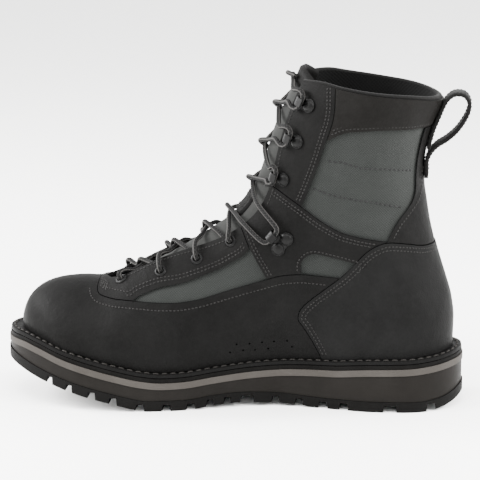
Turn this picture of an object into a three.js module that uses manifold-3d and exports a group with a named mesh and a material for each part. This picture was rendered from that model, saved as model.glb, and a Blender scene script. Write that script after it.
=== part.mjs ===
// Outdoor boot for the right foot, 8 inch shaft, empty and standing on its sole.
// Millimetres. +X runs to the toe, +Y to the medial side, +Z up. Until the last lines x is measured
// from the back end of the sole; there the boot is moved so that the origin is under the heel.
import * as THREE from 'three';
import { mergeVertices } from 'three/addons/utils/BufferGeometryUtils.js';
import Module from 'manifold-3d';

const wasm = await Module();
wasm.setup();

// Sole
const soleLength = 311;
const ballWidth = 113.4;
const heelWidth = 81;
const heelRound = 36;          // length of the rounded back end of the sole
const toeRound = 61;           // length of the rounded toe end
const heelLift = 27;           // from the floor to the middle of the grey strip, at the heel
const ballLift = 16.8;         // the same at the ball of the foot
const toeSpring = 26.5;        // rise of the tread at the toe's tip
const heelBevel = 8;           // rise of the tread at the back end
const archLift = 3.1;
const outsoleThick = 6.8;
const lugDepth = 4.4;
const stripThick = 4.4;
const weltThick = 2.6;
const flangeThick = 2.4;
const midsoleInset = 0.8;
const stripInset = 0.2;
const weltInset = 0.9;
const weltWide = 10.2;
const flangeInset = 1.3;
const insoleThick = 4.5;
const heelRestAt = 64;         // where the heel's middle lug stands, from the back end
const ballRestAt = 189;

// Upper
const toeHeight = 79.5;          // top of the toe cap above the floor
const shaftHeight = 223;       // top of the collar's front corners
const wall = 2.2;              // leather and lining
const featherBack = 9.2;         // from the sole's back end to the upper's
const featherToe = 11.2;
const featherSide = 7.6;
const heelHalf = 34;           // half width low on the heel
const ankleHalf = 37.5;
const collarHalf = 45.5;
const bellyOut = 2.4;          // how far the foot part swells over its lower edge
const bellySpan = 44;
const throatHalf = 17;         // half of the gap between the facings, low on the instep
const throatTopHalf = 26;      // the same at the collar
const tongueThick = 4.2;
const tongueHalf = 27;
const tongueRise = 4.5;          // tongue above the collar's front corners
const gap = 0.3;               // clearance between pieces that touch

// Counts
const collarRibs = 7;
const throatRibs = 10;
const toeRibs = 6;
const wallLevels = 8;
const soleStations = 30;
const channelStations = 14;
const insoleStations = 22;

// Sole by length: half width as shares of the ball's and the heel's width, middle line as a share
// of the ball's width, positive to the medial side.
const outlineRows = [
  { at: 0.000, ball: 0.000, heel: 0.455, middle: 0.000 },
  { at: 0.064, ball: 0.000, heel: 0.463, middle: 0.000 },
  { at: 0.129, ball: 0.000, heel: 0.494, middle: 0.000 },
  { at: 0.193, ball: 0.000, heel: 0.502, middle: -0.002 },
  { at: 0.257, ball: 0.045, heel: 0.420, middle: -0.020 },
  { at: 0.322, ball: 0.110, heel: 0.306, middle: -0.042 },
  { at: 0.386, ball: 0.170, heel: 0.222, middle: -0.060 },
  { at: 0.450, ball: 0.245, heel: 0.150, middle: -0.062 },
  { at: 0.514, ball: 0.330, heel: 0.094, middle: -0.053 },
  { at: 0.579, ball: 0.410, heel: 0.046, middle: -0.037 },
  { at: 0.643, ball: 0.470, heel: 0.015, middle: -0.022 },
  { at: 0.740, ball: 0.500, heel: 0.000, middle: -0.006 },
  { at: 0.836, ball: 0.468, heel: 0.000, middle: 0.000 },
  { at: 0.932, ball: 0.410, heel: 0.000, middle: 0.013 },
  { at: 1.000, ball: 0.388, heel: 0.000, middle: 0.018 },
];

// Height of the tread's lower face: shares of the heel bevel, arch lift and toe spring.
const treadRows = [
  { at: 0.000, bevel: 1.00, arch: 0, spring: 0 },
  { at: 0.020, bevel: 0.56, arch: 0, spring: 0 },
  { at: 0.048, bevel: 0.20, arch: 0, spring: 0 },
  { at: 0.090, bevel: 0.00, arch: 0, spring: 0 },
  { at: 0.296, bevel: 0.00, arch: 0.00, spring: 0 },
  { at: 0.354, bevel: 0.00, arch: 0.40, spring: 0 },
  { at: 0.418, bevel: 0.00, arch: 0.84, spring: 0 },
  { at: 0.482, bevel: 0.00, arch: 1.00, spring: 0 },
  { at: 0.540, bevel: 0.00, arch: 0.62, spring: 0 },
  { at: 0.588, bevel: 0.00, arch: 0.00, spring: 0.000 },
  { at: 0.675, bevel: 0, arch: 0, spring: 0.000 },
  { at: 0.708, bevel: 0, arch: 0, spring: 0.075 },
  { at: 0.757, bevel: 0, arch: 0, spring: 0.210 },
  { at: 0.810, bevel: 0, arch: 0, spring: 0.345 },
  { at: 0.865, bevel: 0, arch: 0, spring: 0.510 },
  { at: 0.920, bevel: 0, arch: 0, spring: 0.690 },
  { at: 0.965, bevel: 0, arch: 0, spring: 0.865 },
  { at: 1.000, bevel: 0, arch: 0, spring: 1.000 },
];

// Height of the grey strip's middle: shares of the lift at the heel and at the ball, and of the spring.
const stripRows = [
  { at: 0.000, heel: 1.165, ball: 0, spring: 0 },
  { at: 0.032, heel: 1.110, ball: 0, spring: 0 },
  { at: 0.071, heel: 1.050, ball: 0, spring: 0 },
  { at: 0.129, heel: 1.005, ball: 0, spring: 0 },
  { at: 0.200, heel: 0.980, ball: 0, spring: 0 },
  { at: 0.280, heel: 0.895, ball: 0.000, spring: 0 },
  { at: 0.350, heel: 0.760, ball: 0.180, spring: 0 },
  { at: 0.420, heel: 0.570, ball: 0.415, spring: 0 },
  { at: 0.480, heel: 0.390, ball: 0.620, spring: 0 },
  { at: 0.540, heel: 0.190, ball: 0.830, spring: 0 },
  { at: 0.600, heel: 0.000, ball: 1.010, spring: 0 },
  { at: 0.645, heel: 0, ball: 1.000, spring: 0.000 },
  { at: 0.690, heel: 0, ball: 1.010, spring: 0.055 },
  { at: 0.740, heel: 0, ball: 1.020, spring: 0.180 },
  { at: 0.800, heel: 0, ball: 1.030, spring: 0.335 },
  { at: 0.865, heel: 0, ball: 1.040, spring: 0.520 },
  { at: 0.920, heel: 0, ball: 1.040, spring: 0.715 },
  { at: 0.960, heel: 0, ball: 0.960, spring: 0.855 },
  { at: 1.000, heel: 0, ball: 0.760, spring: 0.985 },
];

// Side cuts between the lugs, by length; wide is a share of the usual cut.
const cutWide = 4.6;
const cutRows = [
  { at: 0.066, wide: 1.0 }, { at: 0.154, wide: 1.7 }, { at: 0.254, wide: 1.0 }, { at: 0.299, wide: 1.1 },
  { at: 0.352, wide: 0.9 }, { at: 0.403, wide: 0.9 }, { at: 0.464, wide: 1.7 }, { at: 0.506, wide: 0.8 },
  { at: 0.542, wide: 0.8 }, { at: 0.582, wide: 1.0 }, { at: 0.633, wide: 1.0 }, { at: 0.689, wide: 1.0 },
  { at: 0.747, wide: 1.0 }, { at: 0.794, wide: 1.0 }, { at: 0.845, wide: 0.9 }, { at: 0.890, wide: 0.8 },
];

// Front line of the form in side view, from the toe's tip up to the tongue's top: x as a share of
// the sole's length, height as shares of the toe's and the shaft's height. round is the depth, as a
// share of the ball's width, over which the form rounds off behind this line.
const frontRows = [
  { at: 0.9640, toe: 0.580, shaft: 0.000, round: 0.40 },
  { at: 0.9646, toe: 0.655, shaft: 0.000, round: 0.41 },
  { at: 0.9595, toe: 0.742, shaft: 0.000, round: 0.42 },
  { at: 0.9495, toe: 0.824, shaft: 0.000, round: 0.43 },
  { at: 0.9330, toe: 0.893, shaft: 0.000, round: 0.43 },
  { at: 0.9110, toe: 0.943, shaft: 0.000, round: 0.43 },
  { at: 0.8820, toe: 0.976, shaft: 0.000, round: 0.43 },
  { at: 0.8400, toe: 0.994, shaft: 0.000, round: 0.42 },
  { at: 0.7830, toe: 1.000, shaft: 0.000, round: 0.42 },
  { at: 0.7260, toe: 0.930, shaft: 0.065, round: 0.46 },
  { at: 0.6750, toe: 0.800, shaft: 0.153, round: 0.51 },
  { at: 0.6170, toe: 0.620, shaft: 0.259, round: 0.54 },
  { at: 0.5590, toe: 0.450, shaft: 0.364, round: 0.55 },
  { at: 0.5110, toe: 0.300, shaft: 0.465, round: 0.54 },
  { at: 0.4760, toe: 0.180, shaft: 0.559, round: 0.52 },
  { at: 0.4550, toe: 0.080, shaft: 0.651, round: 0.49 },
  { at: 0.4400, toe: 0.000, shaft: 0.744, round: 0.46 },
  { at: 0.4190, toe: 0.000, shaft: 0.834, round: 0.44 },
  { at: 0.3950, toe: 0.000, shaft: 0.919, round: 0.43 },
  { at: 0.3700, toe: 0.000, shaft: 1.000, round: 0.43 },
  { at: 0.3500, toe: 0.000, shaft: 1.060, round: 0.43 },
];
const vampRow = 8;             // row of the front line where the throat starts
const collarRow = 19;          // row at the collar's corners

// Back line: x as a share of the sole's length by height over the floor, a share of the shaft's.
const backRows = [
  { up: 0.13, at: 0.0309 }, { up: 0.20, at: 0.0296 }, { up: 0.26, at: 0.0286 }, { up: 0.32, at: 0.0338 },
  { up: 0.38, at: 0.0460 }, { up: 0.44, at: 0.0598 }, { up: 0.50, at: 0.0723 }, { up: 0.56, at: 0.0823 },
  { up: 0.62, at: 0.0894 }, { up: 0.68, at: 0.0952 }, { up: 0.74, at: 0.0952 }, { up: 0.80, at: 0.0884 },
  { up: 0.87, at: 0.0740 }, { up: 0.95, at: 0.0563 }, { up: 1.05, at: 0.0418 },
];

// Half width of the heel and shaft by height: shares of the heel's, ankle's and collar's half width.
const shaftRows = [
  { up: 0.14, heel: 1.00, ankle: 0.00, collar: 0.00 },
  { up: 0.24, heel: 1.06, ankle: 0.00, collar: 0.00 },
  { up: 0.38, heel: 0.60, ankle: 0.38, collar: 0.00 },
  { up: 0.52, heel: 0.00, ankle: 1.00, collar: 0.00 },
  { up: 0.66, heel: 0.00, ankle: 0.65, collar: 0.33 },
  { up: 0.82, heel: 0.00, ankle: 0.20, collar: 0.78 },
  { up: 0.95, heel: 0.00, ankle: 0.00, collar: 1.00 },
  { up: 1.06, heel: 0.00, ankle: 0.00, collar: 1.01 },
];

// Collar edge from the back to the front corners: height as a share of the shaft's.
const collarRows = [
  { across: 0.00, up: 0.930 }, { across: 0.20, up: 0.945 }, { across: 0.45, up: 0.957 },
  { across: 0.70, up: 0.972 }, { across: 0.88, up: 0.986 }, { across: 1.00, up: 0.992 },
];

const clamp = (value) => Math.min(1, Math.max(0, value));
const mix = (from, to, share) => from + (to - from) * share;

function ease(share) {
  const inside = clamp(share);
  return inside * inside * (3 - 2 * inside);
}

// A smooth line through one column of a table, which never swings past its rows.
function tableLine(rows, alongKey, valueOf) {
  const along = rows.map((row) => row[alongKey]);
  const values = rows.map(valueOf);
  const slopes = along.slice(1).map((end, i) => (values[i + 1] - values[i]) / (end - along[i]));
  const tangents = values.map((value, i) => {
    if (i === 0) return slopes[0];
    if (i === slopes.length) return slopes[i - 1];
    const product = slopes[i - 1] * slopes[i];
    return product > 0 ? 2 * product / (slopes[i - 1] + slopes[i]) : 0;
  });
  return (place) => {
    if (place <= along[0]) return values[0];
    const last = along.length - 1;
    if (place >= along[last]) return values[last];
    const i = along.findIndex((end, k) => k > 0 && place <= end) - 1;
    const span = along[i + 1] - along[i];
    const t = (place - along[i]) / span;
    return values[i] * (1 + 2 * t) * (1 - t) ** 2 + values[i + 1] * t * t * (3 - 2 * t)
      + span * t * (1 - t) * (tangents[i] * (1 - t) - tangents[i + 1] * t);
  };
}

// A rounded end: 0 at the end itself, 1 once the given depth is passed.
function roundOff(depth) {
  return depth < 1e-6 ? 0 : Math.sqrt(1 - (1 - clamp(depth)) ** 2);
}

const soleHalf = tableLine(outlineRows, 'at', (row) => row.ball * ballWidth + row.heel * heelWidth);
const soleMiddle = tableLine(outlineRows, 'at', (row) => row.middle * ballWidth);
const treadHeight = tableLine(treadRows, 'at',
  (row) => row.bevel * heelBevel + row.arch * archLift + row.spring * toeSpring);
const stripHeight = tableLine(stripRows, 'at',
  (row) => row.heel * heelLift + row.ball * ballLift + row.spring * toeSpring);
const outsoleTop = (x) => treadHeight(x / soleLength) + outsoleThick;
const midsoleTop = (x) => stripHeight(x / soleLength) - stripThick / 2;
const stripTop = (x) => stripHeight(x / soleLength) + stripThick / 2;
const weltTop = (x) => stripTop(x) + gap + weltThick;
const flangeTop = (x) => weltTop(x) + gap + flangeThick;

// The two edge points of the sole's outline, set in by back, side and toe, at a share of its length.
function outlineAt(share, inset) {
  const x = mix(inset.back, soleLength - inset.toe, share);
  const half = (soleHalf(x / soleLength) - inset.side)
    * roundOff((x - inset.back) / (heelRound - inset.back))
    * roundOff((soleLength - inset.toe - x) / (toeRound - inset.toe));
  const middle = soleMiddle(x / soleLength);
  return { x, medial: middle + half, lateral: middle - half };
}
const evenInset = (size) => ({ back: size, side: size, toe: size });

// Geometry from a list of corner points, three to a triangle, with shared corners joined.
function geometryFrom(corners) {
  const geometry = new THREE.BufferGeometry();
  geometry.setAttribute('position', new THREE.Float32BufferAttribute(corners.flat(), 3));
  return mergeVertices(geometry, 1e-4);
}

const near = (p, q) => Math.hypot(p[0] - q[0], p[1] - q[1], p[2] - q[2]) < 1e-4;

function addQuad(corners, a, b, c, d) {
  if (!near(a, b) && !near(b, c) && !near(a, c)) corners.push(a, b, c);
  if (!near(a, c) && !near(c, d) && !near(a, d)) corners.push(a, c, d);
}

function toManifold(geometry) {
  const bare = new THREE.BufferGeometry();
  bare.setAttribute('position', geometry.attributes.position.clone());
  if (geometry.index) bare.setIndex(geometry.index.clone());
  const merged = mergeVertices(bare, 1e-4);
  return new wasm.Manifold(new wasm.Mesh({
    numProp: 3,
    vertProperties: new Float32Array(merged.attributes.position.array),
    triVerts: new Uint32Array(merged.index.array),
  }));
}

function fromManifold(solid) {
  const mesh = solid.getMesh();
  const geometry = new THREE.BufferGeometry();
  geometry.setAttribute('position', new THREE.Float32BufferAttribute(mesh.vertProperties, 3));
  geometry.setIndex(Array.from(mesh.triVerts));
  return geometry;
}

// A layer of the sole between two heights, each a function of x, inside an inset outline.
function soleLayer(lower, upper, inset, stations = soleStations) {
  const corners = [];
  const rows = [];
  for (let i = 0; i <= stations; i += 1) {
    const share = (1 - Math.cos(Math.PI * i / stations)) / 2;
    const { x, medial, lateral } = outlineAt(share, inset);
    rows.push([[x, medial, lower(x)], [x, medial, upper(x)], [x, lateral, upper(x)], [x, lateral, lower(x)]]);
  }
  for (let i = 0; i < stations; i += 1) {
    const [near, far] = [rows[i], rows[i + 1]];
    for (let k = 0; k < 4; k += 1) {
      const next = (k + 1) % 4;
      addQuad(corners, near[k], near[next], far[next], far[k]);
    }
  }
  return geometryFrom(corners);
}

// A prism along Y whose outline is drawn in side view, x against z.
function sidePrism(outline, from, to) {
  const shape = new THREE.Shape(outline.map(([x, z]) => new THREE.Vector2(x, z)));
  const geometry = new THREE.ExtrudeGeometry(shape, { depth: to - from, bevelEnabled: false });
  geometry.rotateX(Math.PI / 2);
  geometry.translate(0, to, 0);
  return geometry;
}

function outsole() {
  const inset = evenInset(0);
  const tread = (x) => treadHeight(x / soleLength);
  const lugTop = (x) => tread(x) + lugDepth;
  let solid = toManifold(soleLayer(tread, outsoleTop, inset));
  const deep = -4;
  const channelOuter = evenInset(20);
  const channelInner = evenInset(24);
  const below = () => deep;
  const channel = toManifold(soleLayer(below, lugTop, channelOuter, channelStations))
    .subtract(toManifold(soleLayer(() => deep - 1, (x) => lugTop(x) + 1, channelInner, channelStations)));
  let cuts = channel;
  for (const row of cutRows) {
    const x = row.at * soleLength;
    const half = row.wide * cutWide / 2;
    const top = lugTop(x);
    const flare = 1.1;
    const outline = [[x - half * flare - 1, deep], [x + half * flare + 1, deep], [x + half, top], [x - half, top]];
    cuts = cuts.add(toManifold(sidePrism(outline, -ballWidth, ballWidth)));
  }
  solid = solid.subtract(cuts);
  return fromManifold(solid);
}

function midsole() {
  return soleLayer((x) => outsoleTop(x) + gap, (x) => midsoleTop(x), evenInset(midsoleInset));
}

function midsoleStrip() {
  return soleLayer((x) => midsoleTop(x) + gap, stripTop, evenInset(stripInset));
}

function welt() {
  const ring = toManifold(soleLayer((x) => stripTop(x) + gap, weltTop, evenInset(weltInset)));
  const inner = evenInset(weltInset + weltWide);
  const hole = toManifold(soleLayer((x) => stripTop(x) - 1, (x) => weltTop(x) + 1, inner, insoleStations));
  return fromManifold(ring.subtract(hole));
}

function insole() {
  const inset = { ...evenInset(weltInset + weltWide + gap), toe: featherToe + wall + 2.6 };
  return soleLayer((x) => stripTop(x) + gap, (x) => stripTop(x) + gap + insoleThick, inset, insoleStations);
}

// The front line as many short steps, each with its place, its outward normal and its rounding.
const frontPoint = (row) => new THREE.Vector3(row.at * soleLength, 0, row.toe * toeHeight + row.shaft * shaftHeight);
const toeTip = soleLength - featherToe;
const frontPoints = frontRows.map(frontPoint);
frontPoints[0].set(toeTip, 0, flangeTop(toeTip));
const frontCurve = new THREE.CatmullRomCurve3(frontPoints, false, 'centripetal');
const frontRound = tableLine(frontRows.map((row, i) => ({ i, round: row.round })), 'i', (row) => row.round * ballWidth);
const frontSteps = 240;
const front = [];
for (let i = 0; i <= frontSteps; i += 1) {
  const t = i / frontSteps;
  const point = frontCurve.getPoint(t);
  const way = frontCurve.getTangent(t);
  const before = front[i - 1];
  const length = before ? before.length + Math.hypot(point.x - before.x, point.z - before.z) : 0;
  front.push({ x: point.x, z: point.z, nx: way.z, nz: -way.x, round: frontRound(t * (frontRows.length - 1)), length });
}

// The front line's step nearest to a place in side view, with its distance.
function nearestFront(x, z) {
  let best = { distance: Infinity };
  for (let i = 0; i < frontSteps; i += 1) {
    const [a, b] = [front[i], front[i + 1]];
    const [dx, dz] = [b.x - a.x, b.z - a.z];
    const share = clamp(((x - a.x) * dx + (z - a.z) * dz) / (dx * dx + dz * dz));
    const distance = Math.hypot(x - a.x - share * dx, z - a.z - share * dz);
    if (distance < best.distance) best = { distance, round: mix(a.round, b.round, share) };
  }
  return best;
}

const backLine = tableLine(backRows.map((row) => ({ z: row.up * shaftHeight, x: row.at * soleLength })), 'z', (row) => row.x);
const backRoundAt = (z) => mix(33, 50, ease((z - 60) / 110));
const shaftHalf = tableLine(shaftRows.map((row) => ({ ...row, z: row.up * shaftHeight })), 'z',
  (row) => row.heel * heelHalf + row.ankle * ankleHalf + row.collar * collarHalf);

// Full half width of the form at a place in side view, before its rounded front and back.
function formHalf(x, z) {
  const overSole = z - flangeTop(x);
  const foot = soleHalf(x / soleLength) - featherSide + bellyOut * Math.sin(Math.PI * clamp(overSole / bellySpan));
  const rise = ease((z - 45) / 75) * ease((235 - x) / 85);
  return mix(foot, shaftHalf(z), rise);
}
const formMiddle = (x, z) => soleMiddle(x / soleLength) * (1 - ease((z - 40) / 70));

// Half width of the form at a place in side view.
function halfAt(x, z) {
  const near = nearestFront(x, z);
  return formHalf(x, z) * roundOff(near.distance / near.round) * roundOff((x - backLine(z)) / backRoundAt(z));
}

function formPoint(x, z, side) {
  return [x, formMiddle(x, z) + side * halfAt(x, z), z];
}

// A place on the front line by its length from the toe's tip.
function frontAt(length) {
  const i = Math.min(frontSteps - 1, Math.max(0, front.findIndex((step) => step.length > length) - 1));
  const [a, b] = [front[i], front[i + 1]];
  const share = (length - a.length) / (b.length - a.length);
  const pick = (key) => mix(a[key], b[key], share);
  return { x: pick('x'), z: pick('z'), nx: pick('nx'), nz: pick('nz'), round: pick('round') };
}
const lengthAtRow = (row) => front[Math.round(row / (frontRows.length - 1) * frontSteps)].length;
const vampLength = lengthAtRow(vampRow);
const collarLength = lengthAtRow(collarRow);

// The form near its front line: a length along it, and the distance off the middle, medial positive.
function frontSurface(length, off) {
  const step = frontAt(length);
  const half = formHalf(step.x, step.z);
  const depth = step.round * (1 - Math.sqrt(Math.max(0, 1 - (off / half) ** 2)));
  const x = step.x - step.nx * depth;
  const z = step.z - step.nz * depth;
  return { x, z, point: [x, formMiddle(x, z) + off, z], nx: step.nx, nz: step.nz };
}

// Half of the throat's gap along the front line, round at its lower end.
function throatHalfAt(length) {
  const open = clamp((length - vampLength) / 24);
  const upward = ease(((length - vampLength) / (collarLength - vampLength) - 0.2) / 0.5);
  return mix(throatHalf, throatTopHalf, upward) * roundOff(open);
}

// Lower and upper ends of the ribs in side view, from the heel round to the toe's tip.
function ribEnds() {
  const ends = [];
  const feather = { back: featherBack, toe: featherToe };
  const footX = (share) => mix(feather.back, soleLength - feather.toe, share);
  const collarFoot = 0.13;
  const vampFoot = 0.785;
  const corner = frontSurface(collarLength, throatHalfAt(collarLength));
  const cornerUp = tableLine(collarRows, 'across', (row) => row.up * shaftHeight);
  for (let i = 0; i <= collarRibs; i += 1) {
    const share = i / collarRibs;
    const across = (1 - Math.cos(Math.PI * share)) / 2;
    const backX = backLine(collarRows[0].up * shaftHeight);
    ends.push({ footShare: collarFoot * share ** 2, x: mix(backX, corner.x, across), z: mix(cornerUp(across), corner.z, ease(across * 4 - 3)), closed: 0 });
  }
  for (let i = 1; i <= throatRibs; i += 1) {
    const share = i / throatRibs;
    const length = mix(collarLength, vampLength, share);
    const edge = frontSurface(length, throatHalfAt(length));
    ends.push({ footShare: mix(collarFoot, vampFoot, share ** 1.15), x: edge.x, z: edge.z, closed: share });
  }
  for (let i = 1; i <= toeRibs; i += 1) {
    const share = Math.sin(Math.PI / 2 * i / toeRibs);
    const edge = frontAt(vampLength * (1 - share));
    ends.push({ footShare: mix(vampFoot, 1, share), x: edge.x, z: edge.z, closed: 1 });
  }
  return ends.map((end) => ({ ...end, footX: footX(end.footShare) }));
}

// One rib of the form from the flange's edge up to the throat, collar or front line.
function ribPoints(end, side) {
  const points = [];
  const edge = outlineAt(end.footShare, evenInset(flangeInset));
  points.push([edge.x, side > 0 ? edge.medial : edge.lateral, flangeTop(edge.x)]);
  const footZ = flangeTop(end.footX);
  const footOff = end.footX - backLine(footZ);
  const topOff = end.x - backLine(end.z);
  for (let j = 0; j <= wallLevels; j += 1) {
    const even = j / wallLevels;
    const share = mix(even, Math.sin(Math.PI / 2 * even), 0.75 * end.closed);
    const z = mix(footZ, end.z, share);
    const x = backLine(z) + mix(footOff, topOff, share);
    points.push(formPoint(x, z, side));
  }
  return points;
}

// The whole sheet of the form: ribs from the toe's tip along the medial side, round the heel and back.
function formSheet() {
  const ends = ribEnds();
  const medial = ends.map((end) => ribPoints(end, 1)).reverse();
  const lateral = ends.slice(1).map((end) => ribPoints(end, -1));
  return [...medial, ...lateral];
}

// Outward normals of a sheet, joined where its corners meet.
function sheetNormals(sheet) {
  const sums = new Map();
  const key = (p) => p.map((value) => Math.round(value * 1000)).join(' ');
  const add = (a, b, c) => {
    const normal = new THREE.Vector3().crossVectors(
      new THREE.Vector3(c[0] - a[0], c[1] - a[1], c[2] - a[2]),
      new THREE.Vector3(b[0] - a[0], b[1] - a[1], b[2] - a[2]));
    for (const p of [a, b, c]) {
      const name = key(p);
      if (!sums.has(name)) sums.set(name, new THREE.Vector3());
      sums.get(name).add(normal);
    }
  };
  for (let i = 0; i < sheet.length - 1; i += 1) {
    for (let j = 0; j < sheet[i].length - 1; j += 1) {
      add(sheet[i][j], sheet[i][j + 1], sheet[i + 1][j + 1]);
      add(sheet[i][j], sheet[i + 1][j + 1], sheet[i + 1][j]);
    }
  }
  return sheet.map((rib) => rib.map((p) => sums.get(key(p)).clone().normalize()));
}

// A closed shell over a sheet, between two distances off it; at one row the inner one is changed.
function shell(sheet, inner, outer, corner) {
  const normals = sheetNormals(sheet);
  const offset = (distance, more) => sheet.map((rib, i) => rib.map((p, j) => {
    const normal = normals[i][j];
    const reach = distance + (j === corner.row ? more : 0);
    return [p[0] + normal.x * reach, p[1] + normal.y * reach, p[2] + normal.z * reach];
  }));
  const [inside, outside] = [offset(inner, corner.inner), offset(outer, 0)];
  const corners = [];
  const ribs = sheet.length;
  const levels = sheet[0].length;
  for (let i = 0; i < ribs - 1; i += 1) {
    for (let j = 0; j < levels - 1; j += 1) {
      addQuad(corners, outside[i][j], outside[i + 1][j], outside[i + 1][j + 1], outside[i][j + 1]);
      addQuad(corners, inside[i][j], inside[i][j + 1], inside[i + 1][j + 1], inside[i + 1][j]);
    }
    addQuad(corners, inside[i][0], inside[i + 1][0], outside[i + 1][0], outside[i][0]);
    const top = levels - 1;
    const other = ribs - 1 - i;
    const joined = near(sheet[i][top], sheet[other][top]) && near(sheet[i + 1][top], sheet[other - 1][top]);
    if (!joined) addQuad(corners, outside[i][top], outside[i + 1][top], inside[i + 1][top], inside[i][top]);
  }
  return { corners, inside, outside };
}

// Distances of the overlays off the form: every one starts a gap above it.
const guardThick = 1.4;
const counterThick = 1.9;
const bandThick = 1.7;
const facingThick = 1.7;
const cuffThick = 1.4;
const seamGap = 0.8;           // open line between neighbouring overlays
const overFlange = 0.9;        // overlays start this far above the flange

// Outlines of the overlays in side view: at is a share of the sole's length, up of the shaft's
// height. An outline runs on under the pieces that are cut out of it.
const far = 1.3;               // past the boot's own edges
const counterRows = [
  { at: 0.300, up: 0.000 }, { at: 0.303, up: 0.150 }, { at: 0.327, up: 0.212 }, { at: 0.344, up: 0.249 },
  { at: 0.355, up: 0.267 }, { at: 0.351, up: 0.299 }, { at: 0.327, up: 0.331 }, { at: 0.292, up: 0.370 },
  { at: 0.258, up: 0.409 }, { at: 0.234, up: 0.445 }, { at: 0.211, up: 0.483 }, { at: 0.188, up: 0.505 },
  { at: 0.165, up: 0.516 }, { at: 0.122, up: 0.507 }, { at: 0.086, up: 0.493 }, { at: -far, up: 0.486 },
  { at: -far, up: 0.000 },
];
const guardRows = [
  { at: 0.250, up: 0.000 }, { at: 0.250, up: 0.400 }, { at: 0.350, up: 0.411 }, { at: 0.393, up: 0.404 },
  { at: 0.443, up: 0.382 }, { at: 0.497, up: 0.359 }, { at: 0.563, up: 0.330 }, { at: 0.605, up: 0.320 },
  { at: 0.650, up: 0.319 }, { at: 0.705, up: 0.322 }, { at: 0.760, up: 0.322 }, { at: 0.797, up: 0.330 },
  { at: 0.800, up: 0.600 }, { at: far, up: 0.600 }, { at: far, up: 0.000 },
];
const lowerFacingRows = [
  { at: 0.800, up: 0.320 }, { at: 0.712, up: 0.320 }, { at: 0.700, up: 0.337 }, { at: 0.652, up: 0.365 },
  { at: 0.606, up: 0.376 }, { at: 0.572, up: 0.392 }, { at: 0.519, up: 0.423 }, { at: 0.465, up: 0.470 },
  { at: 0.440, up: 0.560 }, { at: 0.470, up: 0.620 }, { at: 0.560, up: 0.800 }, { at: 0.800, up: 0.600 },
];
const bandRows = [
  { at: 0.440, up: 0.690 }, { at: 0.405, up: 0.669 }, { at: 0.350, up: 0.622 }, { at: 0.305, up: 0.577 },
  { at: 0.262, up: 0.543 }, { at: 0.220, up: 0.529 }, { at: 0.150, up: 0.514 }, { at: 0.180, up: 0.420 },
  { at: 0.270, up: 0.360 }, { at: 0.408, up: 0.360 }, { at: 0.438, up: 0.434 }, { at: 0.456, up: 0.478 },
  { at: 0.480, up: 0.550 }, { at: 0.560, up: 0.640 }, { at: 0.500, up: 0.750 },
];
const ankleWindowRows = [
  { at: 0.346, up: 0.380 }, { at: 0.350, up: 0.452 }, { at: 0.326, up: 0.482 }, { at: 0.281, up: 0.468 },
  { at: 0.222, up: 0.447 }, { at: 0.250, up: 0.380 },
];
const shaftFacingRows = [
  { at: 0.277, up: far }, { at: 0.277, up: 0.920 }, { at: 0.281, up: 0.880 }, { at: 0.296, up: 0.817 },
  { at: 0.316, up: 0.729 }, { at: 0.348, up: 0.615 }, { at: 0.440, up: 0.640 }, { at: 0.520, up: 0.700 },
  { at: 0.520, up: far },
];
const cuffRows = [
  { at: 0.310, up: far }, { at: 0.310, up: 0.815 }, { at: 0.292, up: 0.822 }, { at: 0.272, up: 0.838 },
  { at: 0.251, up: 0.850 }, { at: 0.178, up: 0.855 }, { at: 0.116, up: 0.851 }, { at: -far, up: 0.852 },
  { at: -far, up: far },
];
const backstayRows = [
  { at: 0.165, up: 0.490 }, { at: 0.165, up: 0.516 }, { at: 0.145, up: 0.572 }, { at: 0.125, up: 0.605 },
  { at: 0.111, up: 0.632 }, { at: 0.106, up: 0.664 }, { at: 0.106, up: 0.709 }, { at: 0.099, up: 0.753 },
  { at: 0.084, up: 0.812 }, { at: 0.070, up: 0.870 }, { at: -far, up: 0.870 }, { at: -far, up: 0.470 },
];
const outlineOf = (rows) => rows.map(({ at, up }) => [at * soleLength, up * shaftHeight]);

// An outline moved outwards along the bisector at each corner.
function growOutline(points, size) {
  const area = points.reduce((sum, [x, z], i) => {
    const [nextX, nextZ] = points[(i + 1) % points.length];
    return sum + x * nextZ - nextX * z;
  }, 0);
  const turn = Math.sign(area);
  return points.map((point, i) => {
    const before = points[(i + points.length - 1) % points.length];
    const after = points[(i + 1) % points.length];
    const first = new THREE.Vector2(point[0] - before[0], point[1] - before[1]).normalize();
    const second = new THREE.Vector2(after[0] - point[0], after[1] - point[1]).normalize();
    const way = new THREE.Vector2((first.y + second.y) * turn, -(first.x + second.x) * turn);
    const reach = size / Math.max(0.5, way.length() / 2);
    way.normalize().multiplyScalar(reach);
    return [point[0] + way.x, point[1] + way.y];
  });
}

// A prism right through the boot, or through its medial (1) or lateral (-1) half.
function prismOf(outline, side = 0) {
  const from = side > 0 ? gap / 2 : -ballWidth;
  const to = side < 0 ? -gap / 2 : ballWidth;
  return toManifold(sidePrism(outline, from, to));
}

// The form's ribs without the flange.
const baseSheet = formSheet();
const wallSheet = baseSheet.map((rib) => rib.slice(1));

function overlayForm(thick) {
  const layer = toManifold(geometryFrom(shell(wallSheet, gap, gap + thick, { row: -1, inner: 0 }).corners));
  return layer.subtract(toManifold(soleLayer(() => 0, (x) => flangeTop(x) + overFlange, evenInset(-4), channelStations)));
}

// A piece of leather over the form: its own outline less the pieces that lie over its edges.
function overlay(rows, thick, coveredBy = [], side = 0) {
  let solid = overlayForm(thick).intersect(prismOf(outlineOf(rows), side));
  for (const cover of coveredBy) solid = solid.subtract(prismOf(growOutline(outlineOf(cover), seamGap)));
  return solid;
}

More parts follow.
